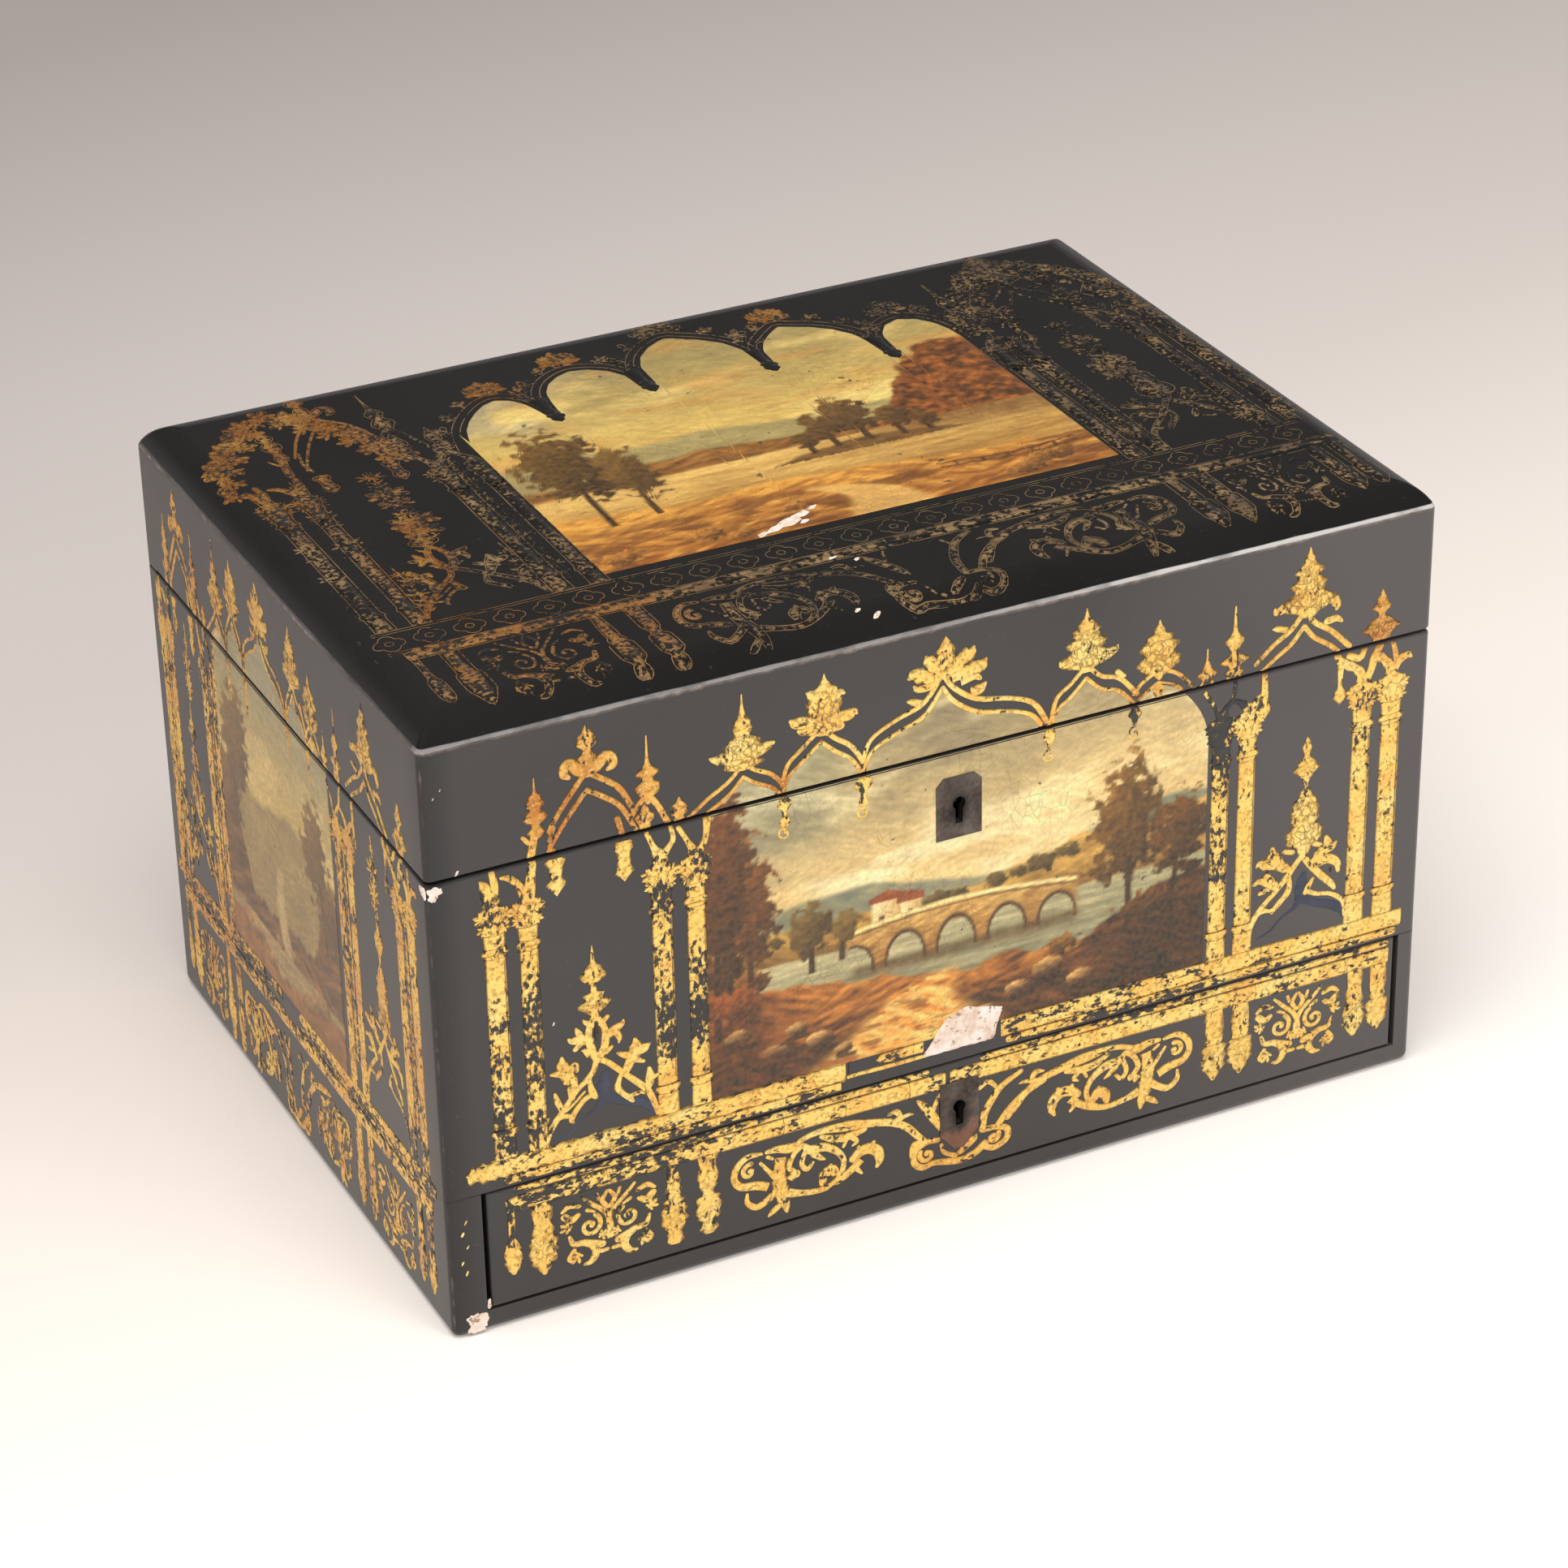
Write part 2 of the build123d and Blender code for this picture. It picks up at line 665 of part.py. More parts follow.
for side, middle in zip(("left", "right"), hinge_middles):
    with BuildPart() as body_leaf:
        leaf(middle, body_top, (body_top - leaf_thickness, body_top), first=0)
    body_leaf.part.label = f"{side}_hinge_body_leaf"
    export_step(body_leaf.part, f"parts/{side}_hinge_body_leaf.step")

    with BuildPart() as lid_leaf:
        leaf(middle, lid_bottom, (lid_bottom, lid_bottom + leaf_thickness), first=1)
    lid_leaf.part.label = f"{side}_hinge_lid_leaf"
    export_step(lid_leaf.part, f"parts/{side}_hinge_lid_leaf.step")

    with BuildPart() as hinge_pin:
        half_pin = hinge_length / 2 + hinge_pin_clearance
        with BuildSketch(Plane.YZ.offset(middle - half_pin)):
            with Locations((hinge_axis_y, seam_height)):
                Circle(hinge_pin_radius)
        extrude(amount=2 * half_pin)
        for head_x in (middle - half_pin - hinge_head_length, middle + half_pin):
            with BuildSketch(Plane.YZ.offset(head_x)):
                with Locations((hinge_axis_y, seam_height)):
                    Circle(hinge_head_radius)
            extrude(amount=hinge_head_length)
    hinge_pin.part.label = f"{side}_hinge_pin"
    export_step(hinge_pin.part, f"parts/{side}_hinge_pin.step")

for name, surface, point in (
    ("hinge_body_screws", body_top, -1),
    ("hinge_lid_screws", lid_bottom, 1),
):
    with BuildPart() as screw_set:
        screws(surface, hinge_screws, point)
    screw_set.part.label = name
    export_step(screw_set.part, f"parts/{name}.step")

# Lift-out tray: a floor, four walls on it, and partitions in three columns
tray_left, tray_right = well_left + tray_clearance, well_right - tray_clearance
tray_front, tray_back = well_front + tray_clearance, well_back - tray_clearance
tray_floor_top = tray_base + tray_floor_thickness
with BuildPart() as tray_floor:
    block((tray_left, tray_right), (tray_front, tray_back), (tray_base, tray_floor_top))
tray_floor.part.label = "tray_floor"
export_step(tray_floor.part, "parts/tray_floor.step")

cell_front, cell_back = tray_front + tray_wall, tray_back - tray_wall
cell_left, cell_right = tray_left + tray_wall, tray_right - tray_wall
for name, wall_x, wall_y in (
    ("tray_front_wall", (tray_left, tray_right), (tray_front, cell_front)),
    ("tray_back_wall", (tray_left, tray_right), (cell_back, tray_back)),
    ("tray_left_wall", (tray_left, cell_left), (cell_front, cell_back)),
    ("tray_right_wall", (cell_right, tray_right), (cell_front, cell_back)),
):
    with BuildPart() as tray_side:
        block(wall_x, wall_y, (tray_floor_top, tray_rim))
    tray_side.part.label = name
    export_step(tray_side.part, f"parts/{name}.step")

partition_z = (tray_floor_top, tray_rim - partition_drop)
long_partitions = [around(x, partition_thickness) for x in (-long_partition_x, long_partition_x)]
with BuildPart() as tray_long_partitions:
    for partition_x in long_partitions:
        block(partition_x, (cell_front, cell_back), partition_z)
tray_long_partitions.part.label = "tray_long_partitions"
export_step(tray_long_partitions.part, "parts/tray_long_partitions.step")

middle_cell_x = (long_partitions[0][1], long_partitions[1][0])
with BuildPart() as tray_cross_partitions:
    for cell_x, place in (
        ((cell_left, long_partitions[0][0]), side_partition_y),
        (middle_cell_x, middle_partition_y),
        ((long_partitions[1][1], cell_right), side_partition_y),
    ):
        for partition_y in (-place, place):
            block(cell_x, around(partition_y, partition_thickness), partition_z)
tray_cross_partitions.part.label = "tray_cross_partitions"
export_step(tray_cross_partitions.part, "parts/tray_cross_partitions.step")

with BuildPart() as tray_tabs:
    for tab_x in ((cell_left, cell_left + tab_thickness), (cell_right - tab_thickness, cell_right)):
        block(tab_x, around(0, tab_width), (tray_rim + tab_stand - tab_length, tray_rim + tab_stand))
tray_tabs.part.label = "tray_tabs"
export_step(tray_tabs.part, "parts/tray_tabs.step")

cushion_half_y = middle_partition_y - partition_thickness / 2 - pincushion_clearance
with BuildPart() as pincushion:
    block(
        (middle_cell_x[0] + pincushion_clearance, middle_cell_x[1] - pincushion_clearance),
        (-cushion_half_y, cushion_half_y),
        (tray_floor_top, tray_rim + pincushion_stand),
    )
    fillet(pincushion.faces().sort_by(Axis.Z)[-1].edges(), pincushion_round)
pincushion.part.label = "pincushion"
export_step(pincushion.part, "parts/pincushion.step")
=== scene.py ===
"""Black lacquered sewing box with gilt Gothic ornament and painted pictures.

Metres. +X is the right-hand side, -Y the front with both keyholes, +Z is up. Ornament is drawn
flat in millimetres, from a face's left end and from the underside, and then laid on that face."""

import json

import bpy
import numpy as np
from mathutils import Matrix, Vector


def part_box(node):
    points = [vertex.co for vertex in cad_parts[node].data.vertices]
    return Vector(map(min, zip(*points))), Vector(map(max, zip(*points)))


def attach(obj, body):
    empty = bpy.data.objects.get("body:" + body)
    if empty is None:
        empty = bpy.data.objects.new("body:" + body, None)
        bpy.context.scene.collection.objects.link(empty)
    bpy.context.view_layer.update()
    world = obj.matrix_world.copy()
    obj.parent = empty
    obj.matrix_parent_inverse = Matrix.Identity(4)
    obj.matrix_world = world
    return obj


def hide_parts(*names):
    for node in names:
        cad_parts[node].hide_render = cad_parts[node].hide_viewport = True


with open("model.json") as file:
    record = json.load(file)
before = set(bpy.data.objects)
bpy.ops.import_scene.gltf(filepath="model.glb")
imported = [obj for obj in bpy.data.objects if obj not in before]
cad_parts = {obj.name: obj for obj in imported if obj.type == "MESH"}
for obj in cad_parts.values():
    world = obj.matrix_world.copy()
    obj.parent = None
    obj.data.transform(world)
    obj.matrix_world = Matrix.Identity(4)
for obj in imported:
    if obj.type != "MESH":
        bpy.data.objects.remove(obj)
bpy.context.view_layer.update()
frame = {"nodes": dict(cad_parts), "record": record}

# Camera: the photograph's view, from a little left of the front and about 29 degrees up, with
# a long lens. The image is square.
azimuth, elevation, roll = np.radians((-25.561, 29.029, -1.2269))
back = Vector((np.sin(azimuth) * np.cos(elevation), -np.cos(azimuth) * np.cos(elevation),
               np.sin(elevation)))
level = Vector((0, 0, 1)).cross(back).normalized()
upright = back.cross(level)
right = np.cos(roll) * level + np.sin(roll) * upright
up = np.cos(roll) * upright - np.sin(roll) * level
camera = bpy.data.objects.new("camera", bpy.data.cameras.new("camera"))
camera.data.sensor_width = 36
camera.data.lens = 108.9
camera.data.clip_end = 50
camera.matrix_world = Matrix.Translation((-0.51443, -1.07771,
                                          0.74231)) @ Matrix((right, up,
                                                              back)).transposed().to_4x4()
bpy.context.scene.collection.objects.link(camera)
bpy.context.scene.camera = camera
bpy.context.scene.view_settings.view_transform = "Standard"


# Table and studio: a wide pale sheet that the box stands on, painted pinkish grey in the distance
# and to the left and cream near the camera as a painted fall-off of the light, and glowing a little
# near the camera, under soft lamps in a room that is dim above.
def node(home, kind, inputs=None, **settings):
    """One shader node in the tree of home: settings are its properties, inputs its values or the
    sockets that feed it."""
    made = home.id_data.nodes.new("ShaderNode" + kind)
    for name, value in settings.items():
        setattr(made, name, value)
    for name, value in (inputs or {}).items():
        feed(made.inputs[name], value)
    return made


def feed(socket, value):
    """Links a socket to another, or sets its number or colour."""
    if isinstance(value, bpy.types.NodeSocket):
        socket.id_data.links.new(value, socket)
    elif socket.type == "RGBA" and len(value) == 3:
        socket.default_value = (*value, 1)
    else:
        socket.default_value = value


def sums(operation, a, b=0.0):
    """A sum, product or the like of sockets and numbers."""
    home = a if isinstance(a, bpy.types.NodeSocket) else b
    return node(home, "Math", {0: a, 1: b}, operation=operation).outputs[0]


def times(a, b):
    return sums("MULTIPLY", a, b)


def plus(a, b):
    return sums("ADD", a, b)


def minus(a, b):
    return sums("SUBTRACT", a, b)


def ramp(fac, *stops):
    """A colour ramp, from stops of place and colour or brightness."""
    made = node(fac, "ValToRGB", {"Fac": fac})
    elements = made.color_ramp.elements
    for i, (place, colour) in enumerate(stops):
        element = elements[i] if i < 2 else elements.new(place)
        element.position = place
        element.color = (*(colour if hasattr(colour, "__len__") else (colour,) * 3), 1)
    return made.outputs["Color"]


def mixed(fac, a, b):
    """Colour a where fac is 0 and colour b where it is 1."""
    return node(fac, "Mix", {0: fac, 6: a, 7: b}, data_type="RGBA").outputs[2]


def grain(place, scale, detail=3.0, stretch=None, roughness=0.5):
    """Noise on a place socket, finer with scale, drawn out along an axis by stretch."""
    if stretch:
        place = node(place, "Mapping", {"Vector": place, "Scale": stretch}).outputs[0]
    return node(place, "TexNoise", {"Vector": place, "Scale": scale, "Detail": detail,
                                    "Roughness": roughness}).outputs[0]


def linear(*colour):
    """A colour given as it looks on screen, from 0 to 255, as the light that it reflects."""
    c = np.asarray(colour, float) / 255
    return np.where(c < 0.04045, c / 12.92, ((c + 0.055) / 1.055) ** 2.4)


def finish_of(name):
    """A new material, its shader and its Object coordinates."""
    material = bpy.data.materials.new(name)
    material.use_nodes = True
    tree = material.node_tree
    tree.nodes.clear()
    surface = node(tree, "BsdfPrincipled")
    node(tree, "OutputMaterial", {"Surface": surface.outputs[0]})
    return material, surface, node(tree, "TexCoord").outputs["Object"]


def set_inputs(surface, **values):
    """Sets or links sockets of a shader, named with underscores for spaces."""
    for name, value in values.items():
        feed(surface.inputs[name.replace("_", " ")], value)


def bumped(*layers):
    """Small relief from layers of height socket, strength and depth in metres, one on another."""
    normal = None
    for height, strength, distance in layers:
        inputs = {"Height": height, "Strength": strength, "Distance": distance}
        if normal:
            inputs["Normal"] = normal
        normal = node(height, "Bump", inputs).outputs[0]
    return normal


def dressed(slot_name, material):
    """Gives the CAD nodes of a material slot their finish."""
    for row in frame["record"]["subparts"]:
        if row["material_slot"] == slot_name:
            mesh = frame["nodes"][row["node"]].data
            mesh.materials.clear()
            mesh.materials.append(material)


sheet_size = 9.0
table = bpy.data.objects.new("table", bpy.data.meshes.new("table"))
corners = [(x * sheet_size, y * sheet_size, 0) for x, y in ((-1, -1), (1, -1), (1, 1), (-1, 1))]
table.data.from_pydata(corners, [], [(0, 1, 2, 3)])
bpy.context.scene.collection.objects.link(table)
material, surface, place = finish_of("table_sheet")
along = node(place, "VectorMath", {0: place, 1: tuple(-back.xy.normalized().to_3d())},
             operation="DOT_PRODUCT").outputs["Value"]
fade = node(place, "MapRange", {"Value": along, "From Min": -0.35, "From Max": 1.15}).outputs[0]
across = node(place, "VectorMath", {0: place, 1: tuple(level.xy.to_3d())},
              operation="DOT_PRODUCT").outputs["Value"]
fade = minus(fade, times(across, 0.62))
tint = ramp(fade, (0.0, linear(252, 251, 248)), (0.26, linear(244, 235, 228)),
            (0.66, linear(220, 211, 208)), (1.0, linear(194, 185, 183)))
path = node(place, "LightPath").outputs
seen = sums("MAXIMUM", sums("MAXIMUM", path["Is Camera Ray"], path["Is Glossy Ray"]),
            path["Is Transmission Ray"])
# Painted light: the near part of the sheet glows to camera, glossy and transmission rays, so that
# it stays pale.
lift = ramp(fade, (0.0, 0.24), (0.10, 0.20), (0.42, 0.0))
set_inputs(surface, Base_Color=tint, Roughness=0.9, Specular_IOR_Level=0.0, Emission_Color=tint,
           Emission_Strength=times(lift, seen))
table.data.materials.append(material)

world = bpy.data.worlds.new("studio")
bpy.context.scene.world = world
world.use_nodes = True
tree = world.node_tree
tree.nodes.clear()
height = node(tree, "SeparateXYZ", {0: node(tree, "TexCoord").outputs["Generated"]}).outputs["Z"]
air = ramp(height, (0.0, linear(214, 208, 205)), (0.12, linear(190, 184, 181)),
           (0.34, linear(84, 80, 78)), (0.7, linear(150, 147, 144)))
node(tree, "OutputWorld",
     {"Surface": node(tree, "Background", {"Color": air, "Strength": 1.0}).outputs[0]})

for name, spot, aim, size, power, colour in (
    ("overhead", (-0.5, -0.6, 2.1), (0, 0, 0.1), 1.6, 34, (1.0, 0.985, 0.965)),
    ("front_fill", (0.9, -2.2, 1.3), (0, 0, 0.1), 1.5, 24, (1.0, 0.98, 0.955)),
    ("left_fill", (-2.3, 0.3, 1.2), (0, 0, 0.1), 1.4, 14, (1.0, 0.98, 0.97)),
):
    lamp = bpy.data.objects.new(name, bpy.data.lights.new(name, "AREA"))
    lamp.data.shape = "DISK"
    lamp.data.size = size
    lamp.data.energy = power
    lamp.data.color = colour
    lamp.visible_glossy = False
    lamp.location = spot
    lamp.rotation_euler = (Vector(spot) - Vector(aim)).to_track_quat("Z", "Y").to_euler()
    bpy.context.scene.collection.objects.link(lamp)

# Lacquered boards: the outside of the carcase, drawer front and lid. Pine under many coats of
# black lacquer, rubbed smooth and varnished, now dusty, finely scratched and worn at the edges,
# with a hairline where the well boards meet the drawer section.
half_width, half_depth, seam, crease, joint_height = 0.150, 0.10475, 0.1405, 0.178, 0.044
top_foot, lip_height = 0.1781, 0.1786
material, surface, place = finish_of("black_lacquer")
across, along, height = node(place, "SeparateXYZ", {0: place}).outputs
from_end = minus(half_width, sums("ABSOLUTE", across))
from_front = minus(half_depth, sums("ABSOLUTE", along))
corner = sums("MAXIMUM", from_end, from_front)
side = sums("MINIMUM", from_end, from_front)
seam_edge = plus(sums("ABSOLUTE", minus(height, seam)), times(side, 1.5))
crease_edge = plus(sums("ABSOLUTE", minus(height, crease)), times(sums("MAXIMUM", side, 0.0), 0.8))
edge = sums("MINIMUM", sums("MINIMUM", corner, seam_edge), sums("MINIMUM", crease_edge, height))
ragged = times(grain(place, 260, 4), 0.0016)
streaks = grain(place, 55, 3)
worn = times(ramp(times(minus(plus(edge, ragged), 0.0006), 900.0), (0.0, 1.0), (0.9, 0.0)),
             ramp(streaks, (0.42, 0.15), (0.62, 1.0)))
haze = grain(place, 13, 4)
# Painted shade: the top above the crease is painted several times darker than the sides and front,
# as it reflects the dim room.
upper = ramp(times(minus(height, top_foot), 1600.0), (0.0, 0.0), (1.0, 1.0))
black = mixed(upper, ramp(haze, (0.3, (0.035, 0.0325, 0.0315)), (0.75, (0.050, 0.0465, 0.0450))),
              ramp(haze, (0.3, (0.0060, 0.0056, 0.0052)), (0.75, (0.0120, 0.0108, 0.0098))))
facing = times(sums("LESS_THAN", from_front, 0.004), sums("LESS_THAN", along, 0.0))
# Painted light: the front faces are made lighter towards the right, below the top.
painted_front_light = ramp(plus(times(across, 8.0), times(minus(grain(place, 18, 3), 0.5), 0.5)), (0.25, 0.0),
             (1.0, 1.0))
painted_front_light = times(times(painted_front_light, facing), minus(1.0, upper))
black = mixed(painted_front_light, black, (0.086, 0.077, 0.075))
# Painted shade: both faces are darker near the front left corner, below the top.
painted_corner_shade = ramp(times(corner, 100.0), (0.3, 0.62), (1.3, 0.0))
painted_corner_shade = times(painted_corner_shade, times(sums("LESS_THAN", across, 0.0), sums("LESS_THAN", along, 0.0)))
black = mixed(times(painted_corner_shade, minus(1.0, upper)), black, (0.008, 0.0074, 0.0070))
dust = ramp(grain(place, 720, 2), (0.70, 0.0), (0.78, 1.0))
black = mixed(times(dust, 0.10), black, (0.30, 0.24, 0.20))
scratches = ramp(grain(place, 60, 5, (9.0, 9.0, 0.6), 0.75), (0.735, 0.0), (0.76, 1.0))
black = mixed(times(scratches, 0.10), black, (0.34, 0.28, 0.24))
bare = ramp(grain(place, 420, 3), (0.3, (0.16, 0.115, 0.095)), (0.7, (0.36, 0.29, 0.26)))
black = mixed(worn, black, bare)
# Painted highlight: a pale broken line along the lid's crease, where its rounded lip catches the
# light, strongest on the front towards the right.
painted_lip_highlight = sums("ABSOLUTE", minus(height, lip_height))
painted_lip_highlight = ramp(plus(times(painted_lip_highlight, 1000.0), times(minus(grain(place, 90, 3), 0.5), 0.45)), (0.34, 1.0),
           (0.60, 0.0))
painted_lip_highlight = times(painted_lip_highlight, ramp(grain(place, 120, 3), (0.34, 0.55), (0.52, 1.0)))
brighter = ramp(times(across, 5.0), (0.0, 0.32), (0.35, 0.95))
painted_lip_highlight = times(painted_lip_highlight, plus(0.12, times(facing, brighter)))
black = mixed(painted_lip_highlight, black, (0.56, 0.54, 0.53))
hairline = sums("LESS_THAN", sums("ABSOLUTE", minus(height, joint_height)), 0.00016)
black = mixed(hairline, black, (0.002, 0.002, 0.002))
crackle = node(place, "TexVoronoi", {"Vector": place, "Scale": 95.0},
               feature="DISTANCE_TO_EDGE").outputs["Distance"]
crackle = ramp(crackle, (0.0, 0.0), (0.03, 1.0))
surface_normal = bumped((grain(place, 34, 3), 0.25, 0.0006), (grain(place, 900, 2), 0.10, 0.0001),
                        (minus(1.0, scratches), 0.25, 0.00008), (crackle, 0.05, 0.00005),
                        (minus(1.0, worn), 0.5, 0.0003), (minus(1.0, hairline), 0.6, 0.0004))
gloss = ramp(haze, (0.3, 0.30), (0.75, 0.40))
set_inputs(surface, Base_Color=black, Normal=surface_normal, Specular_IOR_Level=0.42,
           Roughness=mixed(worn, gloss, (0.75, 0.75, 0.75)))
lacquer = material
dressed("lacquered_wood", lacquer)


# Faces of the box: each takes flat millimetres, across from its left end as seen from outside and
# up from the underside, and gives places in the box's frame, raised by a lift in millimetres.
seam_round, lid_foot, well_top = 0.8, 140.9, 140.1
mid_x, mid_y, top_z = 150, 104.75, 185
shoulder_run, shoulder_rise = 11.0, 7.0
shoulder_radius = (shoulder_run**2 + shoulder_rise**2) / (2 * shoulder_rise)


def rounding(z):
    """How far the rounded edges beside the seam fall back from the face, in millimetres."""
    past = np.where(z < 140.5, z - (well_top - seam_round), (lid_foot + seam_round) - z)
    return seam_round - np.sqrt(seam_round**2 - np.clip(past, 0, seam_round) ** 2)


def front_face(a, b, lift):
    return np.stack([a - mid_x, -mid_y - lift + rounding(b), b], -1) / 1000


def left_face(a, b, lift):
    return np.stack([-mid_x - lift + rounding(b), mid_y - a, b], -1) / 1000


def right_face(a, b, lift):
    return np.stack([mid_x + lift - rounding(b), a - mid_y, b], -1) / 1000


def top_face(a, b, lift):
    """The lid's top: level, and then down a quarter of a large round near all four edges."""
    def fall(distance):
        past = np.clip(shoulder_run - distance, 0, shoulder_run)
        return shoulder_radius - np.sqrt(shoulder_radius**2 - past**2)
    drop = np.maximum(fall(mid_x - np.abs(a - mid_x)), fall(mid_y - np.abs(b - mid_y)))
    return np.stack([a - mid_x, b - mid_y, top_z - drop + lift], -1) / 1000


def piece(name, places, faces, material, body, slot, replaced=(), smooth=True, **attributes):
    """Makes one mesh of arrays of places and faces, and lets it ride on a body. An attribute is
    a number or a colour for each place."""
    mesh = bpy.data.meshes.new(name)
    groups = faces if isinstance(faces, list) else [faces]
    mesh.vertices.add(len(places))
    mesh.vertices.foreach_set("co", np.asarray(places, np.float32).ravel())
    corners = np.concatenate([g.ravel() for g in groups]).astype(np.int32)
    sizes = np.concatenate([np.full(len(g), g.shape[1]) for g in groups]).astype(np.int32)
    mesh.loops.add(len(corners))
    mesh.loops.foreach_set("vertex_index", corners)
    mesh.polygons.add(len(sizes))
    mesh.polygons.foreach_set("loop_start",
                              np.concatenate([[0], np.cumsum(sizes)[:-1]]).astype(np.int32))
    mesh.polygons.foreach_set("loop_total", sizes)
    mesh.polygons.foreach_set("use_smooth", np.full(len(sizes), smooth))
    for key, values in attributes.items():
        values = np.asarray(values, np.float32)
        kind = "FLOAT" if values.ndim == 1 else "FLOAT_COLOR"
        if values.ndim == 2:
            values = np.hstack([values, np.ones((len(values), 1), np.float32)])
        layer = mesh.attributes.new(key, kind, "POINT")
        layer.data.foreach_set("value" if values.ndim == 1 else "color", values.ravel())
    mesh.update(calc_edges=True)
    mesh.validate()
    made = bpy.data.objects.new(name, mesh)
    bpy.context.scene.collection.objects.link(made)
    mesh.materials.append(material)
    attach(made, body)
    if replaced:
        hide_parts(*replaced)
    return made


# Painted pictures: oil on the lacquer behind the gilt arches, on the front, the top and both
# ends. Generic river landscapes in the browns, ochres and grey greens of the real ones, under
# yellowed varnish with fine cracks.
def noise(x, y, seed):
    """Smooth noise: a chance value at each whole-number crossing, eased between them."""
    i, j = np.floor(x), np.floor(y)
    fx, fy = x - i, y - j
    sx, sy = fx * fx * (3 - 2 * fx), fy * fy * (3 - 2 * fy)

    def chance(i, j):
        n = np.sin(i * 127.1 + j * 311.7 + seed * 74.7) * 43758.5453
        return n - np.floor(n)

    low = chance(i, j) * (1 - sx) + chance(i + 1, j) * sx
    high = chance(i, j + 1) * (1 - sx) + chance(i + 1, j + 1) * sx
    return low * (1 - sy) + high * sy


def clouds(x, y, seed, layers=4):
    """Noise added to itself at twice the scale and half the strength, again and again."""
    total = sum(noise(x * 2**k, y * 2**k, seed + k) / 2**k for k in range(layers))
    return total / sum(0.5**k for k in range(layers))


def ease(low, high, value):
    """0 below low, 1 above high, and a smooth step between."""
    t = np.clip((value - low) / (high - low), 0, 1)
    return t * t * (3 - 2 * t)


def over(picture, colour, mask):
    """Lays a colour over the picture where the mask is."""
    mask = np.clip(mask, 0, 1)[..., None]
    return picture * (1 - mask) + np.asarray(colour, float) * mask


def shade(dark, light, amount):
    return (np.asarray(dark, float) + (np.asarray(light, float) - np.asarray(dark, float))
            * np.clip(amount, 0, 1)[..., None])


def land(picture, z, line, soft, dark, light, amount):
    """Ground or water below a line, its upper edge softened."""
    return over(picture, shade(dark, light, amount), ease(soft, -soft, z - line))


def tree_in(picture, x, z, foot, top, spread, seed, light, dark):
    """A tree: a tapering trunk, and a crown where noise breaks up the edge of an oval."""
    fx, fz = foot
    lean = (top[0] - fx) * ease(fz, top[1], z)
    wide = 0.5 + 1.1 * ease(top[1], fz, z)
    trunk = ease(.9, .35, np.abs(x - fx - lean) / wide) * (z > fz) * (z < top[1])
    picture = over(picture, dark, trunk)
    mid = (fz * 0.3 + top[1] * 0.7)
    d = np.hypot((x - top[0]) / spread, (z - mid) / (top[1] - fz) * 2.2)
    rough = clouds(x / 3.2, z / 2.4, seed)
    crown = ease(.9, .7, d + 1.1 * (rough - .5))
    lit = (clouds(x / 1.6, z / 1.2, seed + 9) * .9 + (z - mid) / (top[1] - fz) * .8
           - (x - top[0]) / spread * .25)
    return over(picture, shade(dark, light, lit), crown)


def brushed(x, z, width, seed):
    """Short brush marks: noise drawn out along one of two slants, whichever slow noise picks."""
    share = ease(.40, .60, clouds(x / 24, z / 14, seed))
    low, high = (clouds((x + z * slant) / (width * 4.5), (z - x * slant) / width,
                        seed + 5 + slant, 3) for slant in (.28, -.36))
    return low * (1 - share) + high * share


def bush(picture, x, z, middle, reach, seed, light, dark):
    """A clump of leaves: a broken-edged oval, lit from above on the left."""
    d = np.hypot((x - middle[0]) / reach[0], (z - middle[1]) / reach[1])
    crown = ease(.95, .7, d + 1.2 * (clouds(x / 2.0, z / 1.6, seed) - .5))
    lit = (clouds(x / 1.1, z / .9, seed + 3) + (z - middle[1]) / reach[1] * .45
           - (x - middle[0]) / reach[0] * .25)
    return over(picture, shade(dark, light, lit), crown)


def grown(picture, x, z, *plants):
    """Trees and bushes, the later in front of the earlier."""
    for plant, *where_and_how in plants:
        picture = plant(picture, x, z, *where_and_how)
    return picture


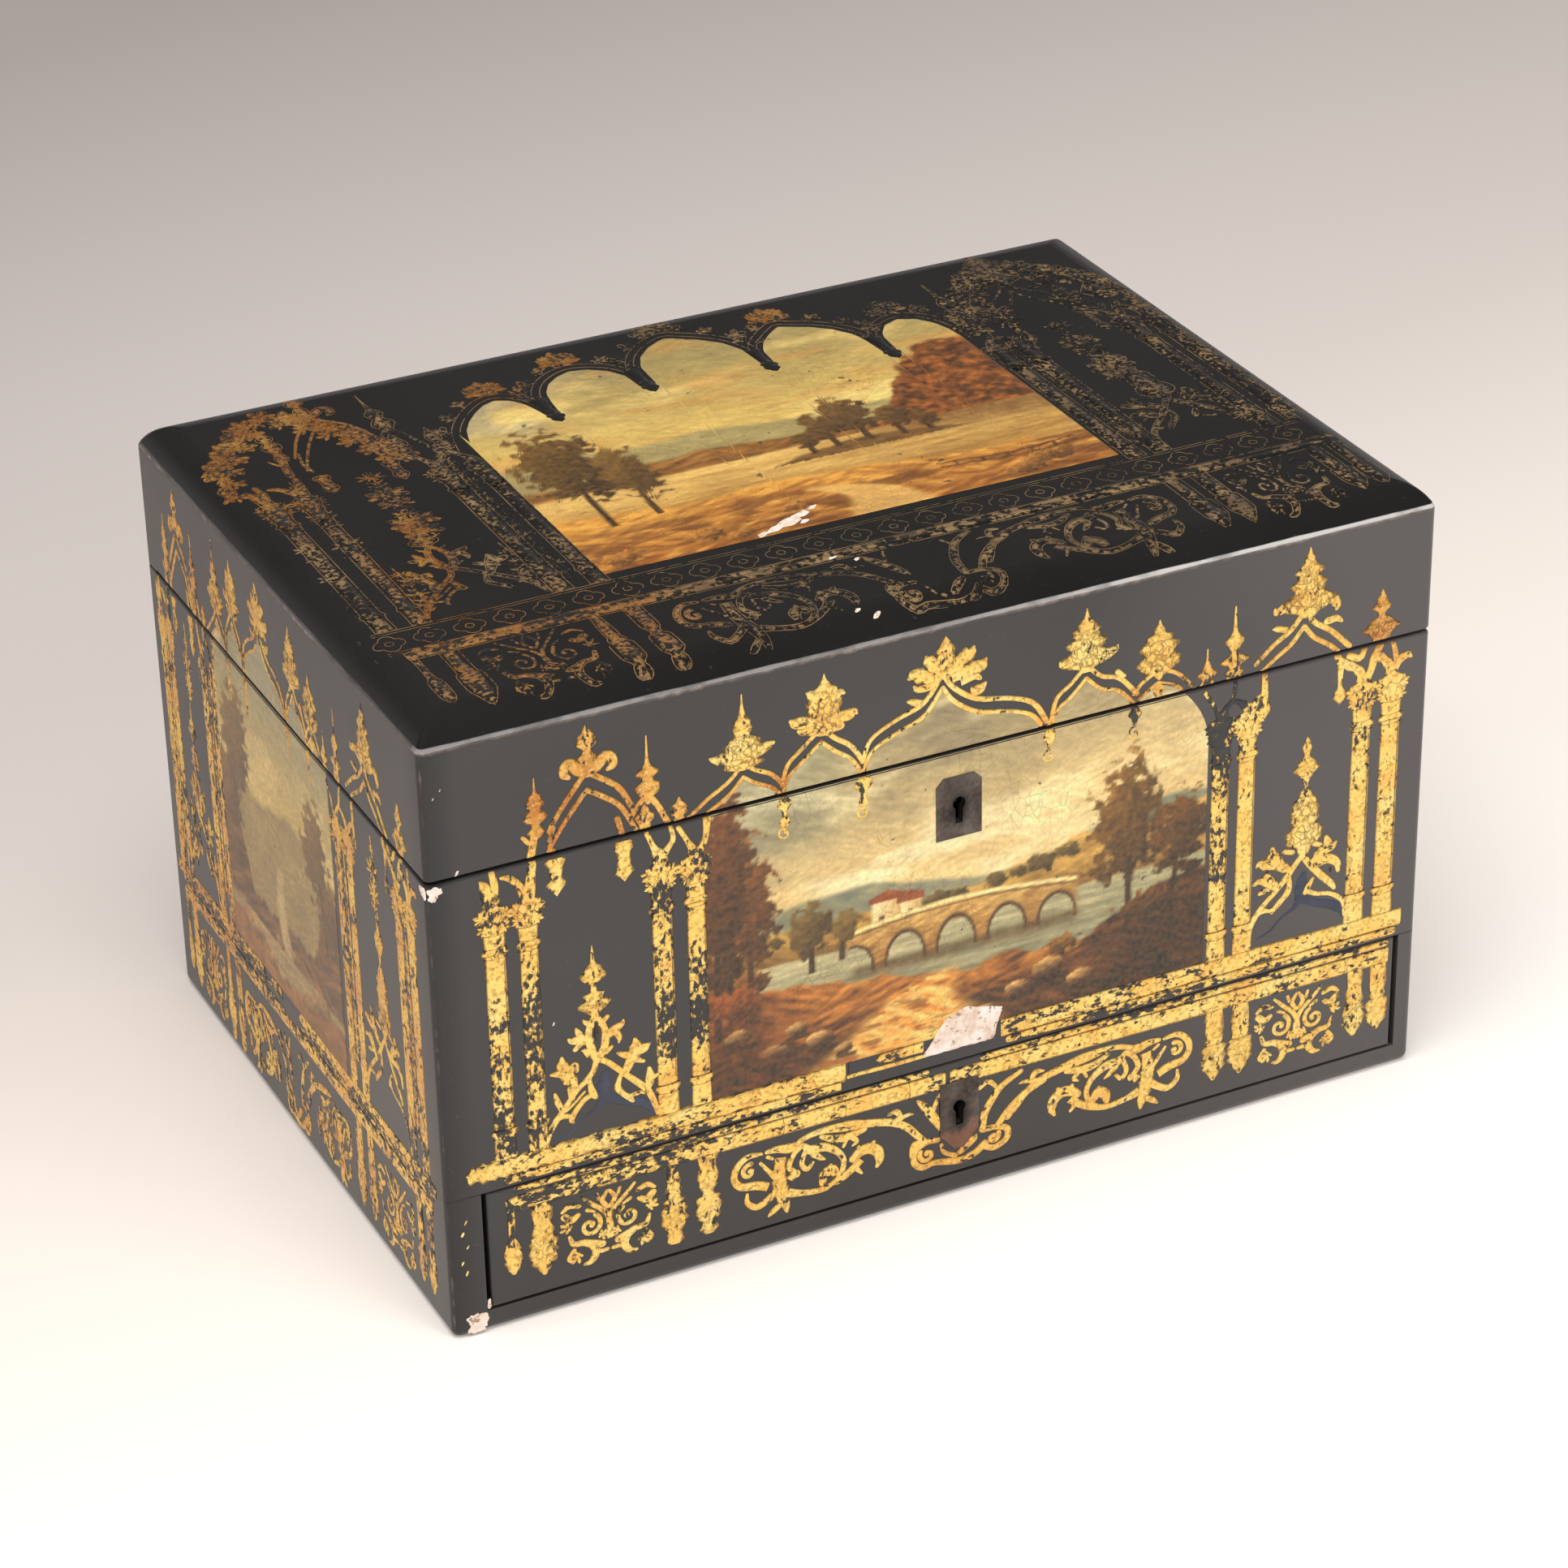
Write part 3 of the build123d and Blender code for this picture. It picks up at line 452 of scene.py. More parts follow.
def front_picture(x, z):
    """River valley for the front, about 152 mm wide from x 77: clouded sky, far hills, a farm and
    a bridge over the river, rocky banks, and trees on the right."""
    top = ease(96, 156, z)
    sky = shade((238, 206, 142), (166, 150, 112), top)
    c = clouds(x / 30, z / 12, 3.1)
    sky = over(sky, (244, 226, 170), ease(.50, .70, c) * .95)
    sky = over(sky, (250, 228, 176), ease(.62, .78, c + .12 * brushed(x, z, 1.6, 4)) * .8)
    sky = over(sky, (136, 124, 96), ease(.50, .72, clouds(x / 22 + 4, z / 8, 8.2)) * .5
               * ease(104, 126, z) * ease(190, 150, x))
    sky = over(sky, (244, 212, 148), ease(150, 195, x) * ease(150, 118, z) * .5)
    sky = over(sky, (146, 146, 120), ease(130, 98, x) * ease(112, 134, z) * .5)
    sky = over(sky, (204, 160, 104), ease(.55, .72, clouds(x / 18 + 9, z / 5, 6.4)) * .5
               * ease(128, 104, z))
    p = sky * (1 + .16 * (brushed(x, z, 1.1, 9) - .5)[..., None])
    # far hills, in two ridges
    ridge = 101 + 9 * clouds(x / 42, 0 * x, 5.5, 3) + 4 * np.cos((x - 120) / 16)
    p = land(p, z, ridge, 1.0, (104, 112, 102), (176, 164, 120), clouds(x / 7, z / 3, 2))
    ridge = 94 + 10 * clouds(x / 30 + 9, 0 * x, 1.5, 4) + 8 * ease(160, 215, x)
    p = land(p, z, ridge, .8, (110, 78, 38), (232, 184, 96), brushed(x, z, 1.5, 12) * 1.2 - .25
             + (z - 90) / 34)
    for tx, tz, s in ((92, 97, 3), (97, 96.4, 2.2), (141, 96, 2.4), (146, 97, 3.2),
                      (152, 96.6, 2.4), (164, 98, 3), (171, 98.6, 2.2), (178, 99.6, 3.4),
                      (186, 101, 2.6)):
        p = bush(p, x, z, (tx, tz), (s * 1.5, s), 300 + tx, (120, 100, 52), (58, 48, 30))
    # a low farm on the far bank
    for low, high, eave, foot in ((126, 136, 100.4, 93), (134.6, 141, 98.6, 93)):
        walls = (ease(.3, -.3, low - x) * ease(.3, -.3, x - high) * ease(.3, -.3, z - eave)
                 * (z > foot))
        p = over(p, shade((206, 160, 96), (250, 226, 168), ease(high, low, x) * .7
                          + brushed(x, z, .8, 21) * .5), walls)
        roof_top = eave + 3.4 - np.abs(x - (low + high) / 2) * .34
        roof = (z > eave - .2) * ease(.3, -.3, z - roof_top) * (x > low - 1) * (x < high + 1)
        p = over(p, shade((112, 58, 34), (176, 96, 54), brushed(x, z, .7, 23)), roof)
        door = ease(.9, .5, np.abs(x - low - 3)) * (z > foot) * ease(.3, -.3, z - foot - 3)
        p = over(p, (70, 46, 30), door * .9)
    # river
    bank = 88 + 2.2 * clouds(x / 12, 0 * x, 31, 3)
    p = land(p, z, bank, .6, (112, 112, 88), (222, 206, 156), clouds(x / 12, z / .9, 17) * .8
             + ease(70, 88, z) * .35 - .1)
    # bridge
    deck = 92.6 + 3.4 * np.cos((x - 150) / 24)
    wall = ease(.4, -.4, z - deck) * ease(118, 120, x) * ease(190, 187, x) * (z > 80)
    span = 15.5
    centre = (np.round((x - 151.5) / span)) * span + 151.5
    arch = np.hypot((x - centre) / 5.6, (z - 81.5) / (8.6 - .05 * np.abs(centre - 151)))
    stone = shade((136, 90, 44), (240, 198, 118), brushed(x, z, .9, 41) * .9 + ease(84, 95, z) * .4
                  - .15)
    p = over(p, stone, wall * ease(.92, 1.0, arch))
    p = over(p, (62, 42, 28), wall * ease(.92, 1.0, arch) * ease(1.2, 1.02, arch) * .9)
    p = over(p, (252, 224, 156), wall * ease(.9, .4, np.abs(z - deck + .6)))
    p = over(p, (90, 62, 34), wall * ease(.5, .2, np.abs(z - deck + 1.8)) * .7)
    p = over(p, (84, 62, 38), ease(76, 80.6, z) * ease(83.4, 80.8, z) * ease(118, 122, x)
             * ease(191, 186, x) * (.45 + .4 * clouds(x / 1.6, z / 6, 43)))
    # near banks, the path and rocks
    bank = 80 - 10 * ease(95, 150, x) + 7 * clouds(x / 11, 0 * x, 23, 3) + 12 * ease(92, 77, x)
    p = land(p, z, bank, .8, (76, 43, 24), (232, 152, 68), brushed(x, z, 1.5, 19) * 1.5 - .42
             + (z - 66) / 34)
    p = over(p, shade((62, 36, 22), (186, 102, 48), clouds(x / 3.4, z / 2, 20) * 1.4 - .35),
             ease(.8, -.8, z - bank) * ease(114, 84, x) * .85)
    bank = 60 + 22 * ease(168, 222, x) + 6 * clouds(x / 9, 0 * x, 27, 4)
    p = land(p, z, bank, .8, (48, 31, 21), (160, 98, 48), brushed(x, z, 1.7, 29) * 1.5 - .45)
    way = 128 + 1.3 * (z - 54) + 7 * np.sin(z / 6.5)
    path = ease(1.1, .6, np.abs(x - way) / (3 + (76 - z) * 1.25)) * ease(76, 72, z)
    p = over(p, shade((216, 128, 50), (255, 222, 134), brushed(x, z, 1.1, 37) * 1.6 - .3), path)
    p = over(p, (120, 66, 32), path * ease(.52, .66, clouds(x / 7, z / 1.6, 39)) * .6)
    for rx, rz, s in ((103, 68, 4), (110, 63, 5), (96, 62, 5.5), (171, 62, 4.6), (180, 66, 6),
                      (190, 60, 5), (160, 58, 3.4), (117, 58, 3.6), (86, 70, 5)):
        d = np.hypot((x - rx) / s, (z - rz) / (s * .55)) + .5 * (clouds(x / 2.4, z / 2, rx) - .5)
        p = over(p, shade((66, 42, 28), (238, 186, 112), (z - rz) / s * 1.2 - (x - rx) / s * .35
                          + brushed(x, z, .8, rx) * .7), ease(.95, .8, d))
        p = over(p, (38, 26, 19),
                 ease(1.1, .8, np.hypot((x - rx - .8) / s, (z - rz + s * .62) / (s * .22))) * .75)
    # dark corners of ground
    for cx, cz, tall, seed, dark, light in ((226, 53, 24, 44, (36, 25, 18), (112, 66, 34)),
                                            (76, 52, 19, 46, (46, 30, 21), (150, 82, 38))):
        corner = ease(1.1, .5, np.hypot((x - cx) / 34, (z - cz) / tall)
                      + .5 * (clouds(x / 6, z / 4, seed) - .5))
        p = over(p, shade(dark, light, brushed(x, z, 1.2, seed + 1) * 1.3 - .35), corner)
    # bushes and trees
    return grown(
        p, x, z, (bush, (82, 92), (7, 8), 331, (122, 80, 38), (44, 29, 20)),
        (bush, (90, 86), (6, 5), 333, (150, 98, 44), (52, 34, 22)),
        (tree_in, (108, 84), (108, 104), 7, 61, (140, 112, 56), (58, 44, 28)),
        (tree_in, (117, 86), (118, 99), 5, 62, (150, 120, 62), (66, 50, 30)),
        (tree_in, (90, 74), (90, 124), 9, 65, (156, 98, 44), (66, 42, 25)),
        (tree_in, (80, 70), (81, 139), 12, 66, (136, 80, 38), (52, 33, 21)),
        (bush, (86, 80), (10, 6), 339, (168, 92, 42), (58, 35, 22)),
        (tree_in, (205, 72), (204, 119), 13, 63, (158, 112, 48), (52, 37, 24)),
        (tree_in, (219, 74), (221, 108), 10, 64, (140, 92, 40), (44, 31, 21)),
        (bush, (212, 78), (12, 5), 335, (128, 82, 36), (36, 26, 19)),
        (bush, (184, 72), (6, 3.4), 337, (164, 112, 50), (50, 35, 22)))


def varnished(p, x, z):
    """Brush marks, stronger darks, and the yellowed varnish over them."""
    p = p * (1 + .22 * (brushed(x, z, .8, 71) - .5)[..., None])
    p = p * (1 + .14 * (clouds(x / 16, z / 12, 73) - .5)[..., None])
    mean = p.mean(-1, keepdims=True)
    p = mean + (p - mean) * 1.04
    return np.clip(126 + (p - 126) * 1.08, 12, 248)


def lake_picture(x, y):
    """For the top, about 156 mm wide from x 77: a warm evening sky, a lake with wooded points, a
    meadow with a fence and a stand of trees in front."""
    sky = shade((224, 190, 108), (166, 148, 96), ease(112, 184, y))
    sky = over(sky, (240, 210, 132), ease(.48, .72, clouds(x / 30, y / 13, 103)) * .8)
    sky = over(sky, (158, 150, 128), ease(.5, .72, clouds(x / 24 + 5, y / 10, 105)) * .6
               * ease(130, 165, y) * ease(150, 95, x))
    sky = over(sky, (206, 152, 84), ease(.5, .7, clouds(x / 26 + 2, y / 7, 104)) * .45)
    p = sky * (1 + .14 * (brushed(x, y, 1.3, 106) - .5)[..., None])
    ridge = 116 + 12 * clouds(x / 46, 0 * x, 107, 3) + 6 * ease(150, 90, x)
    p = land(p, y, ridge, 1.4, (150, 136, 92), (192, 172, 112), clouds(x / 9, y / 5, 109))
    ridge = 108 + 9 * clouds(x / 24, 0 * x, 111, 4) + 8 * ease(190, 225, x)
    p = land(p, y, ridge, 1, (96, 62, 32), (196, 138, 66), brushed(x, y, 1.5, 113) * 1.3 - .25)
    woods = 106 + 44 * ease(176, 222, x) + 9 * (clouds(x / 5, y / 5, 114) - .5)
    p = over(p, shade((74, 43, 26), (206, 124, 54), clouds(x / 2.6, y / 2.2, 116) * 1.5 - .4),
             ease(1.2, -1.2, y - woods) * ease(172, 182, x))
    lake = 104 + 1.2 * clouds(x / 10, 0 * x, 115, 3)
    p = land(p, y, lake, .6, (158, 112, 54), (240, 202, 122), clouds(x / 14, y / 1.2, 117) * .8
             + ease(78, 104, y) * .4 - .1)
    p = over(p, (98, 62, 34), ease(88, 104, y) * ease(.6, -.6, y - lake) * ease(168, 196, x)
             * (.35 + .5 * clouds(x / 2, y / 7, 118)))
    point = 101 - 5 * np.abs((x - 176) / 26) ** 1.6 + 1.5 * clouds(x / 5, 0 * x, 119)
    p = over(p, shade((78, 56, 32), (150, 108, 56), clouds(x / 4, y / 2, 121)),
             ease(.8, -.8, y - point) * (y > 95))
    for tx, ty, s in ((160, 98, 5), (168, 99, 8), (178, 99, 10), (188, 98, 7), (196, 97, 5)):
        p = tree_in(p, x, y, (tx, ty), (tx + 1, ty + 2.6 * s), s * .9, 123 + tx, (128, 96, 48),
                    (66, 46, 28))
    meadow = 84 + 6 * clouds(x / 16, 0 * x, 125, 3) - 9 * ease(130, 215, x) + 5 * ease(100, 80, x)
    p = land(p, y, meadow, 1.2, (140, 84, 36), (238, 176, 84), brushed(x, y, 1.6, 127) * 1.4 - .35
             + (y - 62) / 60)
    shadow = ease(.5, .62, clouds(x / 17, y / 4, 129))
    p = over(p, (96, 56, 28), shadow * ease(84, 76, y) * .55)
    for rx, ry, s in ((112, 66, 4), (120, 62, 3), (140, 70, 3), (206, 63, 4), (216, 67, 5),
                      (86, 64, 4.4)):
        p = bush(p, x, y, (rx, ry), (s * 1.7, s), 140 + rx, (206, 142, 66), (70, 44, 26))
    way = 168 - .9 * (y - 58) + 5 * np.sin(y / 5)
    p = over(p, (236, 190, 112), ease(1.1, .7, np.abs(x - way) / (2 + (82 - y) * .5))
             * ease(80, 77, y) * .8)
    wave = 1.4 * np.sin(x / 9)
    rail = ease(.5, .25, np.abs(y - 72 - wave)) + ease(.45, .25, np.abs(y - 74.6 - wave))
    post = ease(.7, .4, np.abs((x % 7.5) - 3.7)) * ease(.5, .3, np.abs(y - 73 - wave) / 3.2)
    p = over(p, (96, 62, 32), np.maximum(rail, post) * (x > 186) * (x < 228))
    return grown(p, x, y, (tree_in, (92, 82), (94, 142), 15, 131, (132, 98, 44), (58, 42, 26)),
                 (tree_in, (106, 84), (109, 124), 9, 133, (140, 106, 50), (70, 50, 30)))


def glen_picture(x, z):
    """For the ends, 88 mm wide from x 52: a waterfall glen between rocks and leaning trees."""
    sky = shade((216, 190, 116), (150, 148, 122), ease(104, 150, z))
    p = over(sky, (232, 208, 140), ease(.5, .7, clouds(x / 26, z / 12, 203)) * .8)
    ridge = 96 + 18 * clouds(x / 28, 0 * x, 205, 3)
    p = land(p, z, ridge, 1.5, (138, 122, 86), (176, 152, 96), clouds(x / 7, z / 5, 207))
    rock = 66 + 34 * ease(76, 56, x) + 26 * ease(116, 138, x) + 8 * clouds(x / 6, 0 * x, 209, 4)
    p = land(p, z, rock, 1.2, (62, 44, 34), (176, 120, 66), brushed(x, z, 2.2, 211) * 1.5 - .4)
    wide = 2.6 + (90 - z) * .06
    fall = ease(1.2, .6, np.abs(x - 97 - 2 * np.sin(z / 7)) / wide) * ease(89, 86, z)
    p = over(p, shade((166, 142, 98), (214, 190, 138), clouds(x / 1.3, z / 9, 213)), fall)
    pool = 60 + 1.5 * clouds(x / 9, 0 * x, 215)
    p = land(p, z, pool, .8, (120, 100, 70), (196, 170, 120), clouds(x / 12, z / 1.2, 217))
    bank = 54 + 6 * clouds(x / 8, 0 * x, 219, 3) - 6 * ease(.9, .4, np.abs(x - 100) / 24)
    p = land(p, z, bank, 1, (84, 54, 32), (190, 122, 62), clouds(x / 5, z / 3, 221))
    p = grown(p, x, z, (bush, (60, 96), (9, 17), 221, (134, 100, 54), (62, 46, 34)),
              (bush, (134, 92), (9, 14), 222, (126, 92, 50), (58, 42, 32)),
              (tree_in, (62, 84), (66, 128), 12, 223, (146, 116, 64), (72, 56, 38)),
              (tree_in, (131, 78), (126, 120), 11, 225, (140, 108, 58), (66, 50, 36)))
    for rx, rz, s in ((72, 56, 6), (84, 52, 4), (112, 53, 5), (122, 57, 6), (92, 62, 3),
                      (104, 63, 3)):
        p = bush(p, x, z, (rx, rz), (s * 1.4, s * .7), 230 + rx, (204, 156, 92), (74, 50, 34))
    return p * .72 + np.array((150, 122, 82)) * .28


material, surface, place = finish_of("oil_paint")
paint = node(place, "Attribute", attribute_name="paint").outputs["Color"]
touch = grain(place, 620, 3)
paint = mixed(ramp(touch, (0.35, 0.0), (0.7, 0.22)), paint, (0.30, 0.20, 0.09))
cracks = node(place, "TexVoronoi",
              {"Vector": node(place, "Mapping", {"Vector": place, "Scale": (1, 1, 0.6)}).outputs[0],
               "Scale": 330.0}, feature="DISTANCE_TO_EDGE").outputs["Distance"]
cracks = ramp(cracks, (0.0, 0.0), (0.045, 1.0))
patchy = ramp(grain(place, 38, 2), (0.45, 0.0), (0.65, 0.35))
paint = mixed(times(minus(1.0, cracks), patchy), paint, (0.04, 0.025, 0.015))
lost = ramp(grain(place, 240, 5), (0.70, 0.0), (0.73, 1.0))
paint = mixed(times(lost, 0.8), paint, (0.05, 0.038, 0.03))
set_inputs(surface, Base_Color=paint, Roughness=ramp(touch, (0.3, 0.34), (0.7, 0.5)),
           Normal=bumped((grain(place, 300, 4, (1, 1, 2.4)), 0.22, 0.0002), (cracks, 0.2, 0.00006),
                         (minus(1.0, lost), 0.3, 0.0001)))
oil_paint = material
paint_lift = 0.06


def painted(name, a, b, face, colours, body, keep=None):
    """A film of paint on a face: a grid over the flat places a and b, doubled to give it an
    inside, with rims where cells are left out and round the edge."""
    rows, columns = a.shape
    cells = np.ones((rows - 1, columns - 1), bool) if keep is None else keep
    index = np.arange(rows * columns).reshape(rows, columns)
    corners = [index[:-1, :-1], index[:-1, 1:], index[1:, 1:], index[1:, :-1]]
    front = np.stack(corners, -1)[cells]
    count = rows * columns
    padded = np.pad(cells, 1)
    rims = []
    for i, neighbour in enumerate((padded[:-2, 1:-1], padded[1:-1, 2:], padded[2:, 1:-1],
                                   padded[1:-1, :-2])):
        open_side = cells & ~neighbour
        p, q = corners[i][open_side], corners[(i + 1) % 4][open_side]
        rims.append(np.stack([q, p, p + count, q + count], -1))
    faces = np.concatenate([front, front[:, ::-1] + count, *rims])
    places = np.concatenate([face(a, b, paint_lift).reshape(-1, 3),
                             face(a, b, -0.25).reshape(-1, 3)])
    used = np.unique(faces)
    renumber = np.zeros(2 * count, int)
    renumber[used] = np.arange(len(used))
    colours = np.concatenate([np.moveaxis(linear(*np.moveaxis(varnished(colours, a, b), -1, 0)), 0,
                                          -1).reshape(-1, 3)] * 2)
    return piece(name, places[used], renumber[faces], oil_paint, body, "lacquered_wood",
                 paint=colours[used])


def patch(low_a, high_a, low_b, high_b, step=0.6):
    """Flat places between bounds. The upper or the right bound may be a function."""
    if callable(high_b):
        a = np.linspace(low_a, high_a, int((high_a - low_a) / step) + 1)
        top = high_b(a)
        share = np.linspace(0, 1, int((top.max() - low_b) / step) + 1)[:, None]
        return np.broadcast_to(a, (len(share), len(a))), low_b + share * (top - low_b)
    b = np.linspace(low_b, high_b, int((high_b - low_b) / step) + 1)[:, None]
    end = high_a(b) if callable(high_a) else np.full_like(b, high_a)
    share = np.linspace(0, 1, int((end.max() - low_a) / step) + 1)
    return low_a + share * (end - low_a), np.broadcast_to(b, (len(b), len(share)))


paint_top, lid_paint_foot, paint_left = 139.9, 141.1, 77.3
keyhole_x, keyhole_z = 152.3, 123.5


def right_edge(z):
    """The front picture's right edge: upright, and rounded off towards its top."""
    return 229.3 - 7.5 * np.clip((z - 122) / 17.9, 0, 1) ** 2.2


a, b = patch(paint_left, right_edge, 53.0, paint_top)
middle_a, middle_b = (a[1:, 1:] + a[:-1, :-1]) / 2, (b[1:, 1:] + b[:-1, :-1]) / 2
keyhole = (np.abs(middle_a - keyhole_x) < 3) & (np.abs(middle_b - keyhole_z) < 6.5)
painted("front_picture", a, b, front_face, front_picture(a, b), "carcase", ~keyhole)


def points(line):
    """Points written as numbers with spaces between them, and commas between points."""
    return np.array([point.split() for point in line.split(",")], float)


def lines_of(table):
    """The lines of a table: one that ends with a comma goes on in the next."""
    return table.strip().replace(",\n", ", ").splitlines()


arcade = points("""73.5 141, 79 145, 85 148.5, 89.2 152.8, 93 150, 97.5 147.5, 100.6 143.5,
102 149, 106.5 153, 111.8 157.4, 116 153.5, 120.5 150, 123.9 144.5, 126.5 150.5, 134 154.3,
142 157.3, 147.6 164.4, 151 159.5, 158 154.6, 168 152.2, 175 148.8, 179.8 141, 181.8 148.5,
186 151.8, 190.8 156.4, 195.5 152, 201 150, 206 144, 208 146.6, 213 149.6, 219 147, 224.5 141""")
drop_inside, lowest = 4.3, 141.15


def under_arcade(x):
    """The lid's strip of the picture reaches up to the inner line of the arches."""
    return np.maximum(np.interp(x, *arcade.T) - drop_inside, lowest)


def tall_enough(b):
    """The cells of the columns of a patch that reach well above the lid's foot."""
    tall = (b[-1, 1:] > 141.5) & (b[-1, :-1] > 141.5)
    return np.broadcast_to(tall, (len(b) - 1, len(tall)))


a, b = patch(paint_left, 224.5, lid_paint_foot, under_arcade, 0.5)
painted("front_picture_on_lid", a, b, front_face, front_picture(a, b), "lid", tall_enough(b))


def on_side(x, z):
    """Where a place of the front's design falls on an end: the same arcade and columns, drawn
    narrower, from the back to the front."""
    return (np.interp(x, (6.5, 14, 31, 61, 77.3, 229.3, 230, 245, 275, 295),
                      (4, 6, 18, 40, 52.5, 140.5, 142, 157, 185, 203)),
            np.interp(z, (8, 12, 35, 36, 41.3, 47, 53.5, 56, 139, 185),
                      (2.5, 4.5, 31, 34.8, 37.5, 41, 45.6, 49, 139, 185)))


def under_side_arcade(a):
    return np.maximum(np.interp(a, *on_side(*arcade.T)) - drop_inside, lowest)


def right_face_mirrored(a, b, lift):
    return right_face(2 * mid_y - a, b, lift)


for end, face, flip in (("left", left_face, 1), ("right", right_face_mirrored, -1)):
    a, b = (flat[:, ::flip] for flat in patch(52.5, 140.5, 45.4, paint_top, 0.7))
    painted(f"{end}_picture", a, b, face, glen_picture(a, b), "carcase")
    a, b = (flat[:, ::flip] for flat in patch(52.5, 139, lid_paint_foot, under_side_arcade, 0.5))
    painted(f"{end}_picture_on_lid", a, b, face, glen_picture(a, b), "lid", tall_enough(b))

top_arches = [points(line) for line in lines_of("""77.3 146, 78.4 152, 80.2 158, 83 163, 87 168,
91 171.6, 95 173.2, 99 171, 101.6 167, 103 162, 104 157
109 157, 109 164, 110 170.6, 113 176, 117.4 179.8, 122 181.6, 127 180.4, 132 176.6, 135 171,
135.9 165, 135.6 160
141 160, 140.5 168, 141.6 175, 144.4 181, 149 186, 153.4 188.8, 156 189.8, 158.4 188.6, 164 184.6,
169.4 179, 172.4 172, 173 165, 172.6 157
177.4 157, 176.6 162, 177.6 168, 180.2 173.4, 184 177.6, 187 180.2, 189 181.6, 191 180.4, 197 177,
202 172.4, 206 166, 207.4 158, 207.6 150
212.4 150, 212.2 158, 213.8 163, 217 167.6, 222 169.8, 227 167.4, 230.6 162, 232.6 155, 233 148""")]
pendant_ends = ((106.4, 152.6), (138.2, 158.6), (174.8, 154.8), (210, 146.4))


def top_edge(x):
    """The top picture's upper edge: five arches side by side, each gap behind a pendant."""
    height = np.interp(x, *(np.array(pendant_ends).T + [[0], [4]]))
    for arch in top_arches:
        height = np.where((x > arch[0, 0]) & (x < arch[-1, 0]), np.interp(x, *arch.T), height)
    return height


a, b = patch(paint_left, 233, 57.5, top_edge, 0.72)
painted("top_picture", a, b, top_face, lake_picture(a, b), "lid")


# Gilding: leaf and bronze powder laid on the lacquer in raised size, in arcades, crocketed
# gables, columns and scrolls, with fine dark drawing over it. It is thin, flaked off in specks
# along the bands and columns, and more orange where it is thicker.
def spline(path, steps=5):
    """A Catmull-Rom curve: between two points it is the cubic that leaves each one along the
    line through its neighbours. Every column is carried along, half-widths too."""
    p = np.asarray(path, float)
    p = np.vstack([2 * p[0] - p[1], p, 2 * p[-1] - p[-2]])
    t = np.arange(steps)[None, :, None] / steps
    a, b, c, d = p[:-3, None], p[1:-2, None], p[2:-1, None], p[3:, None]
    curve = 0.5 * (2 * b + (c - a) * t + (2 * a - 5 * b + 4 * c - d) * t**2
                   + (3 * b - a - 3 * c + d) * t**3)
    curve = np.vstack([curve.reshape(-1, p.shape[1]), p[-2:-1]])
    curve[:, 2] = np.maximum(curve[:, 2], 0.06)
    return curve


def strokes(text, steps=5):
    """Brush strokes, one to a line: points written as "x z half-width, ..." on a smooth curve."""
    return [spline(points(line), steps) for line in lines_of(text)]


def standing(text, steps=4):
    """Upright leafy shapes, alike on both sides, one to a line: "x: z half-width, ..." down."""
    out = []
    for line in lines_of(text):
        x, rows = line.split(":")
        rows = points(rows)
        out.append(spline(np.insert(rows, 0, float(x), 1), steps))
    return out


def mirrored(groups, about):
    return [path * (-1, 1, 1) + (2 * about, 0, 0) for path in groups]


def volute(x, z, radius, start, turns, width, steps=22):
    """A spiral that winds in to its eye: the radius shrinks evenly with the angle."""
    t = np.linspace(0, 1, steps)
    a = np.radians(start) + turns * 2 * np.pi * t
    r = radius * (1 - 0.82 * t)
    half = width * (1 - 0.3 * t)
    half[-3:] *= 1.6
    return [np.stack([x + r * np.cos(a), z + r * np.sin(a), half], 1)]


def doubled(text, drop):
    """A moulding of two lines: the outer, and the same lower down."""
    outer = strokes(text)
    return outer + [path * (1, 1, 0.9) - (0, drop, 0) for path in outer]


def leaf(x, z, angle, length, fat=0.2):
    """A three-lobed leaf on a short stalk, pointing along an angle in degrees. A lobe is narrow
    at its foot, widest past the middle and blunt at its tip."""
    t = np.linspace(0, 1, 7)
    out = []
    for turn, share, start in ((0, 1, 0), (48, 0.72, 0.22), (-48, 0.72, 0.22), (95, 0.42, 0.12),
                               (-95, 0.42, 0.12)):
        a, b = np.radians(angle), np.radians(angle + turn)
        sx, sz = x + start * length * np.cos(a), z + start * length * np.sin(a)
        blunt = np.sqrt(np.clip(1 - t**6, 0.05, 1))
        half = fat * length * (0.45 + 0.9 * t) * blunt * (0.5 + 0.5 * share)
        run = share * length * t
        out.append(np.stack([sx + run * np.cos(b), sz + run * np.sin(b), half], 1))
    return out


def lid_arcade():
    """The cusped arcade over the front picture: ten arcs that meet in points."""
    return doubled("""73.5 141 .75, 79 145 .75, 85 148.5 .75, 89.2 152.8 .7
89.2 152.8 .7, 93 150 .75, 97.5 147.5 .8, 100.8 143.5 .8
100.4 143.5 .8, 102 149 .75, 106.5 153 .75, 111.8 157.4 .8
111.8 157.4 .8, 116 153.5 .85, 120.5 150 .85, 124 144.5 .85
123.8 144.5 .8, 126.5 150.5 .75, 134 154.3 .75, 142 157.3 .9, 147.6 164.4 .8
147.6 164.4 .8, 151 159.5 .9, 158 154.6 .95, 168 152.2 .8, 175 148.8 .95, 179.6 141 1
180 141 1, 181.8 148.5 .8, 186 151.8 .75, 190.8 156.4 .8
190.8 156.4 .8, 195.5 152 .8, 201 150 .85, 206.5 144 .9
205.5 144 .7, 208 146.6 .75, 213 149.6 .7
213 149.6 .7, 219 147 .75, 224.5 141 .75""", 3.9)


